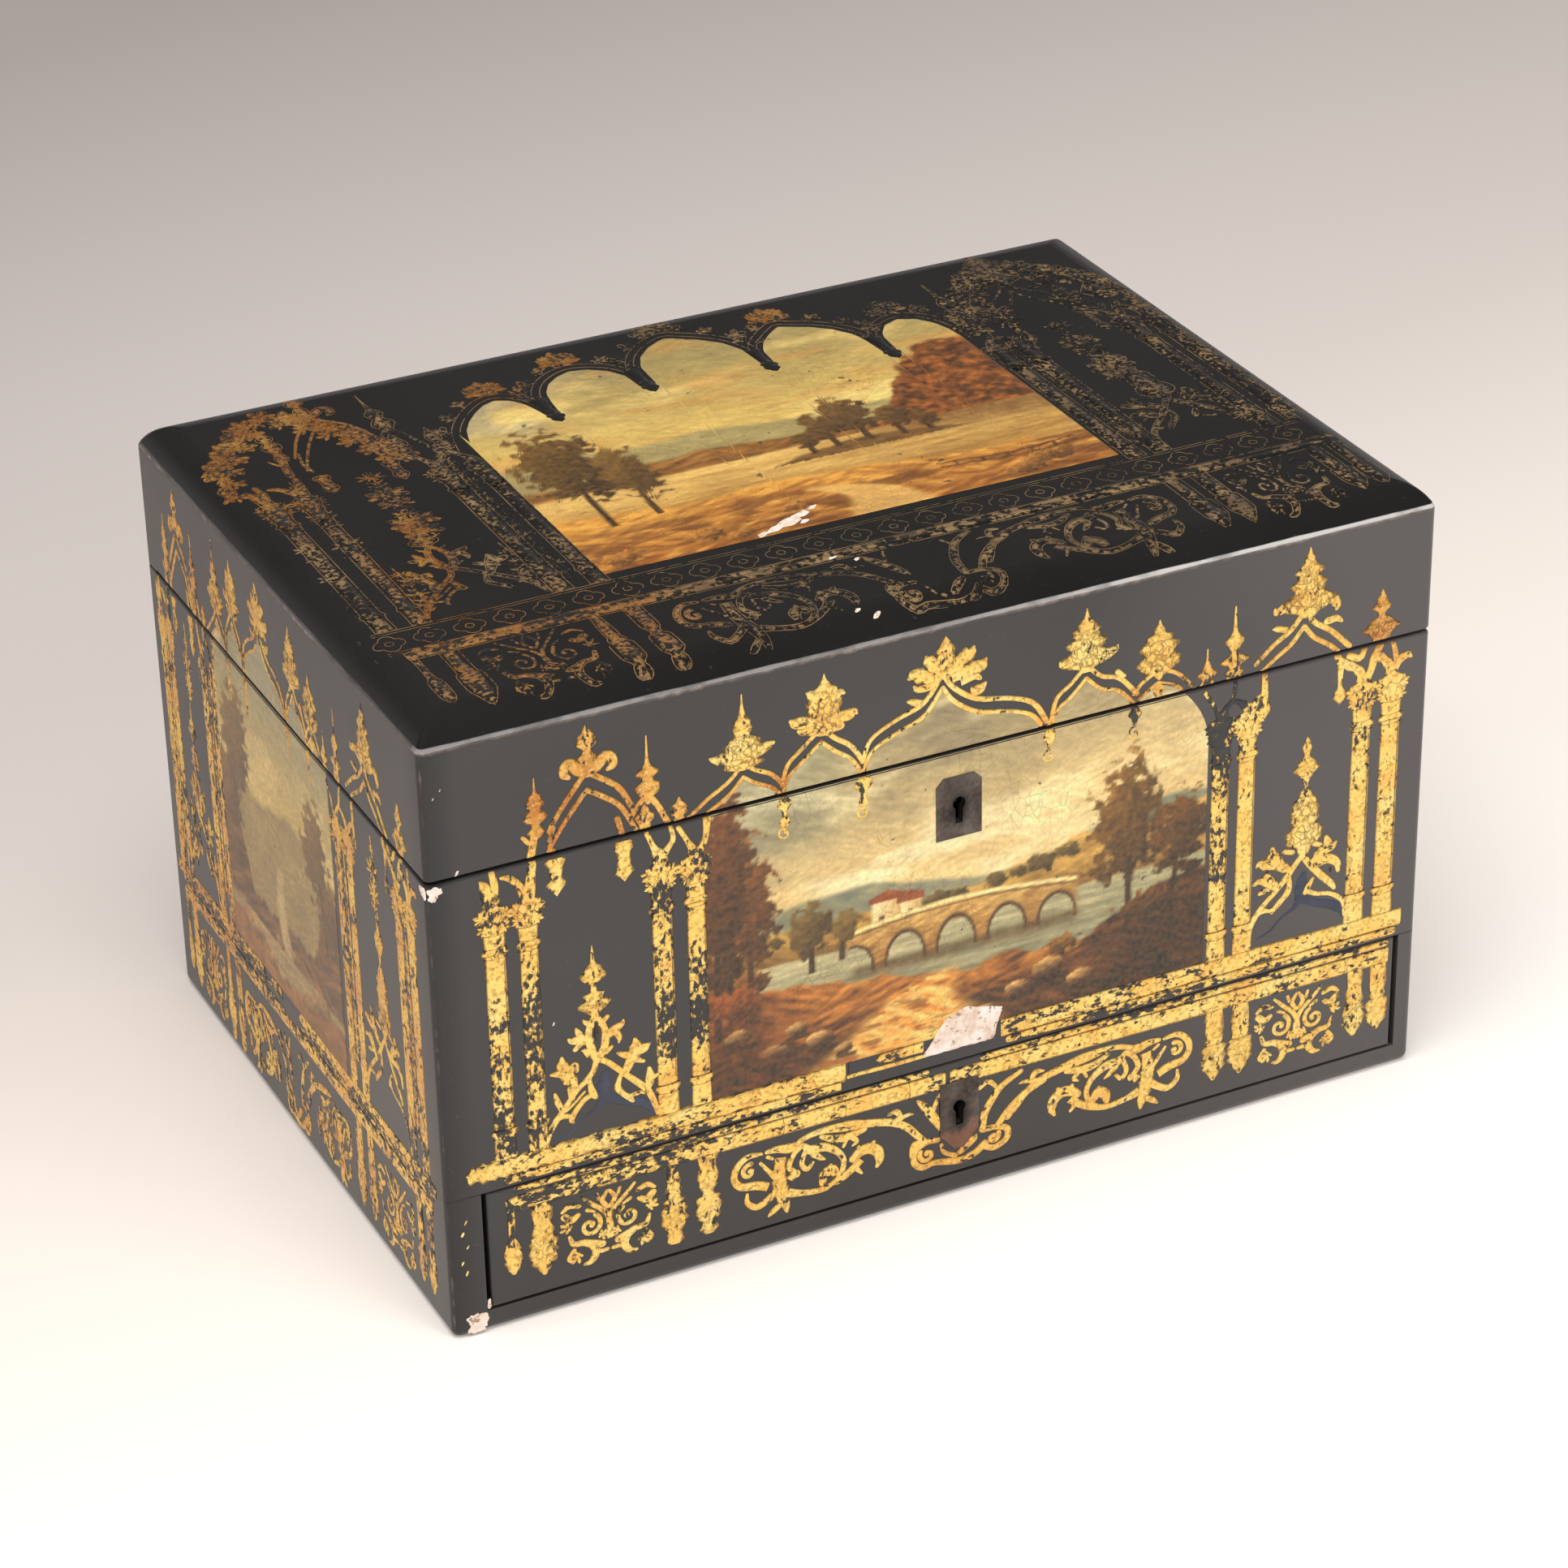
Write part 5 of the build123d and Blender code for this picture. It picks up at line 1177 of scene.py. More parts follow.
material, surface, place = finish_of("gilding")
across, wear, tone, upright_way, breadth = (
    node(place, "Attribute", attribute_name=name).outputs["Fac"]
    for name in ("across", "wear", "tone", "upright", "breadth"))
rub = grain(place, 85, 3)
gold = ramp(plus(times(rub, 0.75), minus(0.4, times(tone, 0.6))), (0.20, linear(194, 124, 56)),
            (0.40, linear(234, 178, 90)), (0.56, linear(252, 209, 110)),
            (0.78, linear(255, 233, 150)))
# Painted shade: each stroke is darker towards its edges, as if its crown turned away from the
# light.
gold = mixed(ramp(sums("ABSOLUTE", across), (0.70, 0.0), (1.0, 0.62)), gold, linear(138, 92, 44))
fine = grain(place, 760, 4)
gold = mixed(ramp(fine, (0.50, 0.0), (0.64, 0.55)), gold, linear(158, 110, 56))
# Painted highlights: fine pale specks over the gold, as glints.
gold = mixed(ramp(grain(place, 1500, 2), (0.56, 0.0), (0.66, 0.4)), gold, linear(255, 236, 176))
dull = ramp(times(tone, 0.5), (0.48, 0.0), (0.62, 1.0))
bronze = ramp(rub, (0.34, linear(96, 79, 57)), (0.62, linear(146, 120, 84)))
gold = mixed(dull, gold, bronze)
lying = grain(place, 640, 4, (0.72, 0.72, 1.15), 0.62)
upended = grain(place, 640, 4, (1.15, 1.15, 0.72), 0.62)
flake = plus(lying, times(minus(upended, lying), upright_way))
flake = plus(flake, times(minus(grain(place, 110, 3), 0.5), 0.45))
curl = node(place, "TexNoise", {"Vector": place, "Scale": 330.0, "Detail": 2.0}).outputs["Color"]
curl = node(place, "VectorMath", {0: curl, 1: (0.0042, 0.0042, 0.0042)},
            operation="MULTIPLY").outputs[0]
curl = node(place, "VectorMath", {0: place, 1: curl}, operation="ADD").outputs[0]
leafage = node(place, "TexVoronoi", {"Vector": curl, "Scale": 400.0},
               feature="DISTANCE_TO_EDGE").outputs["Distance"]
leafage = times(ramp(leafage, (0.02, 1.0), (0.14, 0.0)), ramp(breadth, (0.34, 0.0), (0.48, 0.6)))
gold = mixed(leafage, gold, linear(96, 66, 34))
going = plus(flake, times(minus(wear, 0.5), 0.36))
gold = mixed(ramp(going, (0.565, 0.0), (0.615, 0.85)), gold, linear(118, 92, 58))
lost = ramp(going, (0.612, 0.0), (0.65, 1.0))
# Where the gold is lost the black shows. Under the dull gilding of the top it is painted as dark as
# the top's painted shade.
gold = mixed(lost, gold, mixed(dull, (0.026, 0.024, 0.023), (0.0085, 0.0078, 0.0072)))
set_inputs(surface, Base_Color=gold, Metallic=times(minus(1.0, sums("MAXIMUM", lost, dull)), 0.70),
           Roughness=ramp(rub, (0.3, 0.38), (0.7, 0.52)),
           Normal=bumped((fine, 0.25, 0.0002), (minus(1.0, lost), 0.5, 0.00012)))
gilding = material

material, surface, place = finish_of("drawn_line")
fine = grain(place, 800, 3)
set_inputs(surface, Base_Color=ramp(fine, (0.4, linear(34, 28, 24)), (0.66, linear(96, 66, 36))),
           Roughness=ramp(fine, (0.3, 0.4), (0.7, 0.6)))
drawn_line = material

all_bars = np.array([-1.0, -0.74, 0.0, 0.74, 1.0])
crown = np.array([0.0, 0.75, 1.0, 0.75, 0.0])
edge_turns = np.array([0.0, 1.2, 0.0, 2.7, 3.9])


def level_wear(a, b):
    return np.full(a.shape, 0.45)


def headings(path):
    """The way that a path goes at each of its points, as unit steps."""
    along = np.gradient(path[:, :2], axis=0)
    return along / np.maximum(np.hypot(*along.T), 1e-6)[:, None]


def run_along(path):
    """How far each point of a path is from its start, along the path."""
    return np.concatenate([[0], np.cumsum(np.linalg.norm(np.diff(path, axis=0), axis=1))])


def capped(end, away):
    """Two more points past an end: round where the stroke is narrow, square where it is wide."""
    half = end[2]
    if half < 1.5:
        return [np.append(end[:2] + away * half * share, half * narrow)
                for share, narrow in ((0.5, 0.84), (0.85, 0.4))]
    return [np.append(end[:2] + away * 0.1 * share, half * (1 - 0.02 * share))
            for share in (0.5, 0.85)]


def gilded(name, groups, face, body, low=-1e9, high=1e9, thickness=1.0, wear_at=level_wear,
           tone_at=level_wear, material=gilding, above=0.0):
    """Raised strokes: each is a low crowned ridge along its line, five points across, or three if
    it is thin or flat, rounded at narrow ends and cut square at wide ones, and closed beneath. What
    passes the low or the high bound is cut off."""
    places, faces, acrosses, flats, uprights, breadths = ([] for _ in range(6))
    ends = {5: [], 3: []}
    start = 0
    for number, path in enumerate(groups):
        keep = np.flatnonzero((path[:, 1] > low - 0.3) & (path[:, 1] < high + 0.3))
        if len(keep) < 2:
            continue
        path = path[keep[0]:keep[-1] + 1]
        along = headings(path)
        foot, tip = capped(path[0], -along[0]), capped(path[-1], along[-1])
        path = np.vstack([foot[1], foot[0], path, tip[0], tip[1]])
        along = np.vstack([along[:1], along[:1], along, along[-1:], along[-1:]])
        n = len(path)
        side_way = np.stack([-along[:, 1], along[:, 0]], 1)
        run = run_along(path[:, :2])
        leafy = np.clip(path[:, 2] - 1.0, 0, 1.6) * (path[:, 2].std() > 0.55)
        skip = 2 if path[:, 2].max() < 0.35 or thickness < 0.35 else 1
        bars, rise, turns = all_bars[::skip], crown[::skip], edge_turns[::skip]
        m = len(bars)
        lobed = 1.05 * np.abs(np.sin(run[:, None] * 0.95 + number + turns)) - 0.7
        toothed = leafy[:, None] * lobed * np.abs(bars)
        spots = (path[:, None, :2] + side_way[:, None] * (bars * path[:, 2, None]
                                                          + toothed * np.sign(bars))[..., None])
        lift = ((0.06 + 0.14 * np.minimum(path[:, 2], 1.1)) * thickness + 0.007 * (number % 7)
                + above)
        lifts = lift[:, None] * rise - 0.05 * (rise == 0)
        a, b = spots[..., 0], np.clip(spots[..., 1], low, high)
        places.append(face(a, b, lifts).reshape(-1, 3))
        grid = start + np.arange(n * m).reshape(n, m)
        faces.append(np.stack([grid[:-1, :-1], grid[1:, :-1], grid[1:, 1:], grid[:-1, 1:]],
                              -1).reshape(-1, 4)[:, ::-1])
        faces.append(np.stack([grid[:-1, 0], grid[:-1, -1], grid[1:, -1], grid[1:, 0]],
                              -1)[:, ::-1])
        ends[m].append(np.stack([grid[0], grid[-1][::-1]])[:, ::-1])
        acrosses.append(np.broadcast_to(bars, (n, m)).ravel())
        breadths.append(np.repeat(path[:, 2] / 10 * (path[:, 2].std() > 0.55), m))
        flats.append(spots.reshape(-1, 2))
        uprights.append(np.repeat(np.clip(np.abs(along[:, 1]) * 2 - 0.6, 0, 1), m))
        start += n * m
    flat = np.concatenate(flats)
    faces = [np.concatenate(group) for group in (faces, ends[5], ends[3]) if group]
    return piece(name, np.concatenate(places), faces, material, body, "lacquered_wood",
                 across=np.concatenate(acrosses), wear=wear_at(*flat.T), tone=tone_at(*flat.T),
                 upright=np.concatenate(uprights), breadth=np.concatenate(breadths))


def blotches(a, b, base, spots):
    """A level, raised or lowered in soft spots: middle, reach both ways and depth of each."""
    total = np.full(np.shape(a), base)
    for ca, cb, ra, rb, depth in spots:
        total = total + depth * np.exp(-((a - ca) / ra) ** 4 - ((b - cb) / rb) ** 4)
    return total


def front_wear(a, b):
    return blotches(a, b, 0.46, ((22, 92, 12, 40, .07), (70, 98, 12, 34, .07), (18, 95, 4, 7, .30),
                                 (18, 66, 4, 7, .38), (19, 56, 4, 4, .3), (27.5, 100, 4, 8, .28),
                                 (27.5, 84, 4, 14, .36), (27, 61, 4, 4, .34), (65, 80, 4, 9, .46),
                                 (65, 103, 4, 3, .6), (65, 94, 4, 3, .1), (65, 115, 4, 8, .22),
                                 (75, 81, 4, 6, .5), (75, 96, 4, 6, .26), (64, 126, 6, 8, .3),
                                 (76, 126, 5, 6, .2), (20, 126, 12, 6, .15), (233, 96, 5, 36, .32),
                                 (232, 125, 8, 12, .42), (240, 133, 8, 6, .3),
                                 (229, 139, 20, 6, .3), (101, 134, 4, 6, .45),
                                 (123, 134, 4, 6, .35), (180, 135, 4, 6, .3), (206, 135, 4, 6, .3),
                                 (40, 44, 36, 3, .42), (110, 44, 34, 2.6, .3),
                                 (225, 44, 72, 2.6, .36), (45, 38.4, 20, 3, .34),
                                 (24, 38, 10, 3, .4), (66, 36, 5, 12, .38), (18, 30, 3, 6, .36),
                                 (102, 37, 4, 2, .4), (45, 24, 16, 12, .12), (104, 50, 6, 3, .1),
                                 (57, 48.6, 8, 2, .4), (176, 51, 12, 3, .25), (200, 50, 40, 3, .12),
                                 (131, 51, 3, 2, .5), (149, 141, 3, 4, .3), (264, 38, 30, 3, .15),
                                 (290, 132, 8, 8, .1)))


def front_tone(a, b):
    return blotches(a, b, 0.34, ((44, 152, 22, 12, .55), (44, 170, 8, 8, .35),
                                 (284, 148, 8, 12, .45), (90, 145, 16, 3.4, .3),
                                 (260, 144, 20, 5, .3), (18, 128, 10, 10, .15),
                                 (130, 143, 90, 2.5, .25), (210, 143, 20, 4, .3),
                                 (150, 15, 16, 6, .2)))


spans = {"lid": (141.0, 1e9), "carcase": (44.5, 139.9), "drawer": (8.0, 43.4)}
for name, groups, body in (("front_lid_gilding", front_lid(), "lid"),
                           ("front_gilding", front_well(), "carcase"),
                           ("drawer_gilding", drawer_ornament(), "drawer")):
    gilded(name, groups, front_face, body, *spans[body], wear_at=front_wear, tone_at=front_tone)
for part, body in (("lid", "lid"), ("well", "carcase"), ("drawer", "drawer")):
    low, high = spans[body]
    lines = [path for path in front_drawing() if low < path[:, 1].mean() < high]
    gilded(f"{part}_drawn_lines", lines, front_face, body, low, high, thickness=0.25,
           material=drawn_line, above=0.235)


def warped(groups, mapping, narrow):
    """The same strokes laid out by another mapping, with narrower lines."""
    return [np.stack([*mapping(*path.T[:2]), path[:, 2] * narrow], 1) for path in groups]


def crockets(path, pitch, length, first=0.5):
    """Leaves along a curve, on its left side, one for each pitch, leaning forward."""
    run = run_along(path[:, :2])
    out = []
    for at in np.arange(first * pitch, run[-1], pitch):
        x, z = np.interp(at, run, path[:, 0]), np.interp(at, run, path[:, 1])
        ahead = [np.interp(at + 1, run, path[:, i]) - np.interp(at - 1, run, path[:, i])
                 for i in (0, 1)]
        out += leaf(x, z, np.degrees(np.arctan2(ahead[1], ahead[0])) + 62,
                    length * (0.85 + 0.3 * ((at * 7.3) % 1)))
    return out


def candelabrum(x, low, high, reach):
    """A stem with pairs of leaves and drops, to fill a narrow bay."""
    out = strokes(f"{x} {low} .6, {x + .8} {(low + high) / 2} .5, {x} {high} .4", 12)
    for number, z in enumerate(np.arange(low + 3, high - 2, 6.4)):
        size = reach * (0.75 + 0.25 * np.sin(number * 2.1)) * (1 - 0.35 * (z - low) / (high - low))
        out += leaf(x, z, 38, size, 0.17) + leaf(x, z, 142, size, 0.17)
        out += strokes(f"{x - size * .5} {z - 2} .3, {x} {z - 3.2} .8, {x + size * .5} {z - 2} .3")
    return out


def side_extras():
    """More leaf work between the columns of the ends than on the front."""
    out = candelabrum(46, 112, 134, 6) + candelabrum(260, 116, 136, 6)
    for x in (22.5, 69.9, 237.6, 283.4):
        out += candelabrum(x, 62, 124, 3.4)
    return out


def side_wear(a, b):
    return blotches(a, b, 0.56, ((60, 90, 30, 60, .12), (20, 60, 10, 30, .2), (190, 40, 20, 20, .2),
                                 (100, 20, 40, 20, .15), (100, 40, 100, 3, .3)))


def side_tone(a, b):
    return blotches(a, b, 0.50, ((60, 150, 30, 20, .14), (30, 40, 40, 20, .2)))


for end, face in (("left", left_face), ("right", right_face)):
    for part, groups, body, low, high in (("lid", front_lid(), "lid", 141.0, 1e9),
                                          ("well", front_well() + drawer_ornament() + side_extras(),
                                           "carcase", 2.0, 139.9)):
        groups = warped(groups, on_side, 0.8)
        if end == "right":
            groups = mirrored(groups, mid_y)
        gilded(f"{end}_{part}_gilding", groups, face, body, low, high, 0.7, side_wear, side_tone)


def on_top(x, z):
    """Where a place of the front's design falls on the top, over a frieze of quatrefoils."""
    return (np.interp(x, (6.5, 14, 31, 61, 77.3, 229.3, 245, 275, 295),
                      (5, 10, 28, 60, 77.3, 233, 248, 277, 295)),
            np.interp(z, (8, 12, 35, 41, 47, 53.5, 139, 152, 162, 175),
                      (1, 4, 36, 40.5, 41.5, 55, 150, 173, 188, 204)))


def outlined(groups, line):
    """The two edges of each stroke as thin lines, in place of the filled shape."""
    out = []
    for path in groups:
        if path[:, 2].max() < 0.95:
            out.append(path * (1, 1, 0) + (0, 0, line))
            continue
        along = headings(path)
        reach = np.maximum(path[:, 2:] - line / 2, 0.05)
        side_way = np.stack([-along[:, 1], along[:, 0]], 1) * reach
        there, back = path[:, :2] + side_way, (path[:, :2] - side_way)[::-1]
        loop = np.vstack([there, back, there[:1]])
        out.append(np.hstack([loop, np.full((len(loop), 1), line)]))
    return out


def thinned(groups):
    """Every second point of each long stroke, for ornament too fine to need them all."""
    return [np.vstack([path[:-1:2], path[-1:]]) if len(path) > 9 else path for path in groups]


def quatrefoils():
    """The frieze below the top picture: four-lobed rings in a row between two double lines."""
    out = []
    turn = np.linspace(0, 2 * np.pi, 41)
    for middle in np.arange(12, 292, 11.2):
        radius = 3.2 + 1.15 * np.abs(np.sin(2 * turn + np.pi / 2))
        out.append(np.stack([middle + radius * np.cos(turn), 47 + radius * np.sin(turn),
                             np.full(41, 0.2)], 1))
        out.append(np.stack([middle + 1.2 * np.cos(turn[::4]), 47 + 1.2 * np.sin(turn[::4]),
                             np.full(11, 0.2)], 1))
    for height in (40.6, 41.8, 52.4, 53.6):
        out += strokes(f"6 {height} .2, 150 {height} .2, 294 {height} .2", 40)
    return out


def top_wear(a, b):
    return blotches(a, b, 0.56, ((250, 130, 60, 90, .16), (30, 170, 40, 40, -.06)))


def top_tone(a, b):
    return blotches(a, b, 1.24, ((24, 165, 34, 44, -.34), (122, 195, 10, 10, -.34),
                                 (189, 195, 12, 10, -.34), (95, 180, 10, 9, -.3),
                                 (34, 76, 10, 26, -.36), (50, 30, 40, 24, -.22),
                                 (48, 104, 12, 16, -.26)))


def moulding(arch, distance):
    """A line round an arch of the top picture, a distance outside its edge."""
    curve = spline(np.hstack([arch, np.ones((len(arch), 1))]), 3)[:, :2]
    along = headings(curve)
    return np.hstack([curve + np.stack([-along[:, 1], along[:, 0]], 1) * distance,
                      np.full((len(curve), 1), 0.24)])


def clear_of_picture(path, margin):
    """The longest run of a path that stays above the top picture or beside it, or nothing."""
    free = ((path[:, 1] > top_edge(path[:, 0]) + margin) | (path[:, 0] < 76.5)
            | (path[:, 0] > 233.8) | (path[:, 1] < 57))
    for x, z in pendant_ends:
        free &= (np.abs(path[:, 0] - x) > 3.6) | (path[:, 1] > z + 15) | (path[:, 1] < z)
    edges = np.flatnonzero(np.diff(np.concatenate([[0], free.astype(int), [0]])))
    runs = edges.reshape(-1, 2)
    if not len(runs):
        return path[:0]
    low, high = runs[np.argmax(runs[:, 1] - runs[:, 0])]
    return path[low:high]


hoods = [clear_of_picture(moulding(arch, distance), 0.8) for arch in top_arches
         for distance in (1.8, 4.2)]
hoods = [path for path in hoods if len(path) > 4]
flat = thinned(warped(lid_bays() + finials() + columns() + gables(), on_top, 0.9))
flat = [p for p in flat if not ((p[:, 0] > 76) & (p[:, 0] < 234) & (p[:, 1] > 56)
                                & (p[:, 1] < 194)).any()]
lower = thinned(warped(drawer_ornament(), on_top, 0.9))
bay_arches = strokes("""58 148 1, 52 164 1, 44 178 1, 31 192 1, 22 182 1, 12 166 1, 7 148 1
295 146 1, 288 164 1, 276 180 1, 262 190 1, 252 180 1, 244 166 1, 238 148 1""", 6)
leafwork = [p for arch in bay_arches for p in crockets(arch[::-1], 5.4, 7.2)
            + crockets(arch, 8.2, 5.4)]
for x, low, high, reach in ((13, 60, 140, 5), (24, 96, 150, 6), (68, 60, 150, 4), (242, 60, 140, 4),
                            (290, 60, 150, 5), (250, 150, 176, 7), (274, 150, 176, 7)):
    leafwork += candelabrum(x, low, high, reach)
for arch in top_arches:
    leafwork += crockets(moulding(arch, 4.8), 9.0, 5.4, 0.35)
for crown_x, crown_y in ((95, 179), (122, 188), (156, 196), (189, 188), (222, 176)):
    for turn in (90, 40, 140, 65, 115):
        leafwork += leaf(crown_x, crown_y, turn, 8.4 if turn == 90 else 7.2, 0.2)
leafwork = [path for path in leafwork if len(clear_of_picture(path, 0.8)) == len(path)
            and path[:, 0].min() > 4.5 and path[:, 0].max() < 295.5]
for x in (45, 261):
    for off, low, high, reach in ((0, 100, 146, 9), (-16, 60, 88, 5), (15, 60, 88, 5)):
        leafwork += candelabrum(x + off, low, high, reach)
gilded("top_gilding", outlined(flat, 0.22) + outlined(hoods, 0.24) + outlined(leafwork, 0.2)
       + quatrefoils() + outlined(lower, 0.22), top_face, "lid", 3, 206, 0.4, top_wear, top_tone)


# What is left of the gold inside those outlines: dabs, thickest in the upper left bay.
def dab_wear(a, b):
    return blotches(a, b, 0.98, ((26, 168, 34, 40, -.34), (122, 195, 14, 9, -.36),
                                 (189, 195, 14, 9, -.36), (95, 180, 12, 9, -.26),
                                 (50, 30, 50, 26, -.16), (34, 76, 10, 30, -.2),
                                 (48, 104, 16, 20, -.2), (262, 120, 44, 80, .02),
                                 (190, 26, 80, 26, -.1)))


gilded("top_gilding_dabs", flat + lower + leafwork + bay_arches, top_face, "lid", 3, 206, 0.3,
       dab_wear, top_tone, above=0.03)
pendant = points("-1.4 .4, -.4 1.7, 1.4 2.7, 3.4 2.9, 5.4 2.2, 7.6 1.5, 11 1.7, 15 2.6")
pendants = [spline(np.insert(pendant + (z, 0), 0, x, 1)) for x, z in pendant_ends]
gilded("top_pendants", pendants, top_face, "lid", thickness=0.5, material=lacquer, above=0.05)


# Damage and colour patches: chips that show the pale ground under the lacquer, a patch of bare
# ground below the front picture, and the blue grey trefoils painted inside the gables.
def film(name, outline, face, body, material, lift, ragged=0.0, seed=0.0):
    """A thin closed patch: a smooth closed outline, made ragged by noise, with a dished top."""
    loop = spline(np.insert(outline, 2, 1.0, 1), 6)[:-1, :2]
    middle = loop.mean(0)
    away = loop - middle
    away /= np.hypot(*away.T)[:, None]
    rough = noise(loop[:, 0] * 1.7, loop[:, 1] * 1.7, seed)[:, None] - 0.5
    loop = loop + away * ragged * rough * 2
    n = len(loop)
    inner = middle + (loop - middle) * 0.9
    rows = [(loop, -0.15), (loop, lift * 0.4), (inner, lift),
            (middle + (loop - middle) * 0.4, lift * 0.9)]
    places = np.concatenate([face(ring[:, 0], ring[:, 1], np.full(n, rise)) for ring, rise in rows])
    i = np.arange(n)
    j = (i + 1) % n
    sides = np.concatenate([np.stack([i + k * n, j + k * n, j + (k + 1) * n, i + (k + 1) * n], 1)
                            for k in range(3)])
    area = np.sum(loop[:, 0] * np.roll(loop[:, 1], -1) - np.roll(loop[:, 0], -1) * loop[:, 1])
    faces = [sides, (i + 3 * n)[None], i[::-1][None]]
    if area < 0:
        faces = [group[:, ::-1] for group in faces]
    return piece(name, places, faces, material, body, "lacquered_wood", smooth=False)


material, surface, place = finish_of("bare_ground")
chalk = grain(place, 300, 4)
pale = ramp(chalk, (0.34, linear(226, 198, 178)), (0.5, linear(244, 226, 212)),
            (0.7, linear(252, 244, 238)))
pale = mixed(ramp(grain(place, 700, 3), (0.60, 0.0), (0.68, 0.8)), pale, linear(150, 112, 84))
set_inputs(surface, Base_Color=pale, Roughness=ramp(chalk, (0.3, 0.75), (0.7, 0.95)),
           Normal=bumped((chalk, 0.6, 0.0004)))
bare_ground = material

for name, face, lift, ragged, seed, outline in (
        ("patch_below_picture", front_face, 0.34, 0.3, 3.0, """141.5 47.9, 141.6 48.8, 144 52,
146.2 55.4, 148.8 58.2, 151.6 59.4, 154.4 60.2, 155 60.2, 160 58.8, 164.6 57.5, 165.6 57.2,
165.7 56.4, 164.6 53, 163.6 49.6, 163 48.1, 162.6 47.8, 157 47.7, 149 47.8, 142 47.7,
141.5 47.9"""),
        ("chip_at_seam", front_face, 0.2, 0.5, 5.0, """.6 138.8, 2.2 139.4, 4 138.8, 4.4 137.6,
3 136.6, 2.6 135.6, 1.4 135.2, .7 136.6, .6 138.8"""),
        ("chip_at_seam_end", left_face, 0.2, 0.4, 7.0,
         "205 138.6, 207 139.2, 208.9 138.8, 208.9 135.8, 207.6 136.6, 206 137, 205 138.6"),
        ("chip_at_foot", front_face, 0.25, 0.5, 11.0, """3.8 5.6, 5.4 6.8, 8 6.4, 10 5.8, 10.2 4,
9.4 2.6, 8.8 1.2, 6 .9, 4.2 1.4, 4.6 3.2, 3.8 5.6"""),
        ("chip_by_drawer", front_face, 0.12, 0.2, 13.0,
         "10.2 9.8, 10.9 10.4, 11.1 9, 11.2 7.8, 10.4 7.2, 10 8.4, 10.2 9.8")):
    film(name, points(outline), face, "carcase", bare_ground, lift, ragged, seed)

turn = np.linspace(0, 2 * np.pi, 9)
number = 0
for face, body, wide, lean, lift, spots in (
        (front_face, "carcase", 0.55, 0.5, 0.07,
         "4.2 33 .7, 5.4 28.6 .5, 3.8 24 .6, 4.8 20.4 .7, 5.2 36.4 .6, 33 90 .5"),
        (front_face, "lid", 0.55, 0.5, 0.07, "8.6 141.9 .8, 3.4 164.8 .34, 5.4 166.8 .26"),
        (top_face, "lid", 1.25, 0.9, 0.1, """129 60.6 2.2, 133.6 62.6 2.8, 139 65.4 2.1,
143.5 68 1.1, 124.6 59.2 1.3, 138 61.2 1.0, 135 38 .9, 140 34 .7, 131 5 .9, 127 8 .6""")):
    for a, b, reach in points(spots):
        ring = reach * (0.7 + 0.6 * noise(turn * 1.3, number + 0 * turn, 4.0))
        ring[-1] = ring[0]
        over_by, up_by = ring * np.cos(turn), ring * np.sin(turn)
        outline = np.stack([a + over_by * wide + up_by * lean, b + up_by], 1)
        film(f"fleck_{number:02d}", outline, face, body, gilding if number < 5 else bare_ground,
             lift)
        number += 1

material, surface, place = finish_of("blue_ground")
dusk = grain(place, 160, 3)
set_inputs(surface, Base_Color=ramp(dusk, (0.3, linear(36, 40, 56)), (0.7, linear(58, 64, 84))),
           Roughness=ramp(dusk, (0.3, 0.35), (0.7, 0.5)), Normal=bumped((dusk, 0.1, 0.0002)))
trefoil = strokes("""47.2 71 1.2, 46.6 68.6 2, 46.2 66 2.2, 46 63.6 1.8, 44.8 61.4 1, 42.4 60 .6,
40 58.6 .5, 37 55.8 .5, 33 54 .5
46.4 63.4 1.8, 49 62.2 1.5, 52 60.6 1.5, 55 59.6 1.6, 58 58 1.6, 60 56 1.2, 60.6 54.2 .6""")
gilded("blue_trefoils", trefoil + [path + (214.4, 1.6, 0) for path in trefoil], front_face,
       "carcase", thickness=0.36, material=material)


# Locks: steel cases, bolts and keyhole plates, let into the wood flush or a hair proud. The
# plates are rubbed grey brown, darker in the pits, and the drawer's is rusty at its foot.
material, surface, place = finish_of("old_steel")
key_x, lid_key_z, drawer_key_z = 0.0023, 0.1232, 0.0268
across, _, height = node(place, "SeparateXYZ", {0: place}).outputs
pits = grain(place, 900, 4)
broad = grain(place, 160, 3)
metal = ramp(plus(times(broad, 0.6), times(pits, 0.4)), (0.32, linear(52, 45, 41)),
             (0.52, linear(92, 82, 76)), (0.75, linear(128, 117, 110)))
above_key = sums("MINIMUM", sums("ABSOLUTE", minus(height, lid_key_z)),
                 sums("ABSOLUTE", minus(height, drawer_key_z)))
from_key = sums("SQRT", plus(sums("POWER", minus(across, key_x), 2.0),
                             sums("POWER", times(above_key, 0.55), 2.0)))
metal = mixed(ramp(times(plus(from_key, times(pits, 0.001)), 100.0), (0.20, 0.85), (0.42, 0.0)),
              metal, linear(30, 25, 22))
rust = times(ramp(plus(broad, times(minus(0.0215, height), 60.0)), (0.44, 0.0), (0.62, 1.0)),
             sums("LESS_THAN", height, 0.030))
metal = mixed(times(rust, 0.6), metal, mixed(pits, linear(104, 58, 34), linear(150, 88, 50)))
set_inputs(surface, Base_Color=metal, Metallic=minus(0.75, times(rust, 0.7)),
           Roughness=ramp(pits, (0.3, 0.42), (0.7, 0.62)),
           Normal=bumped((pits, 0.25, 0.0002), (broad, 0.2, 0.0003)))
old_steel = material
dressed("lock_metal", old_steel)
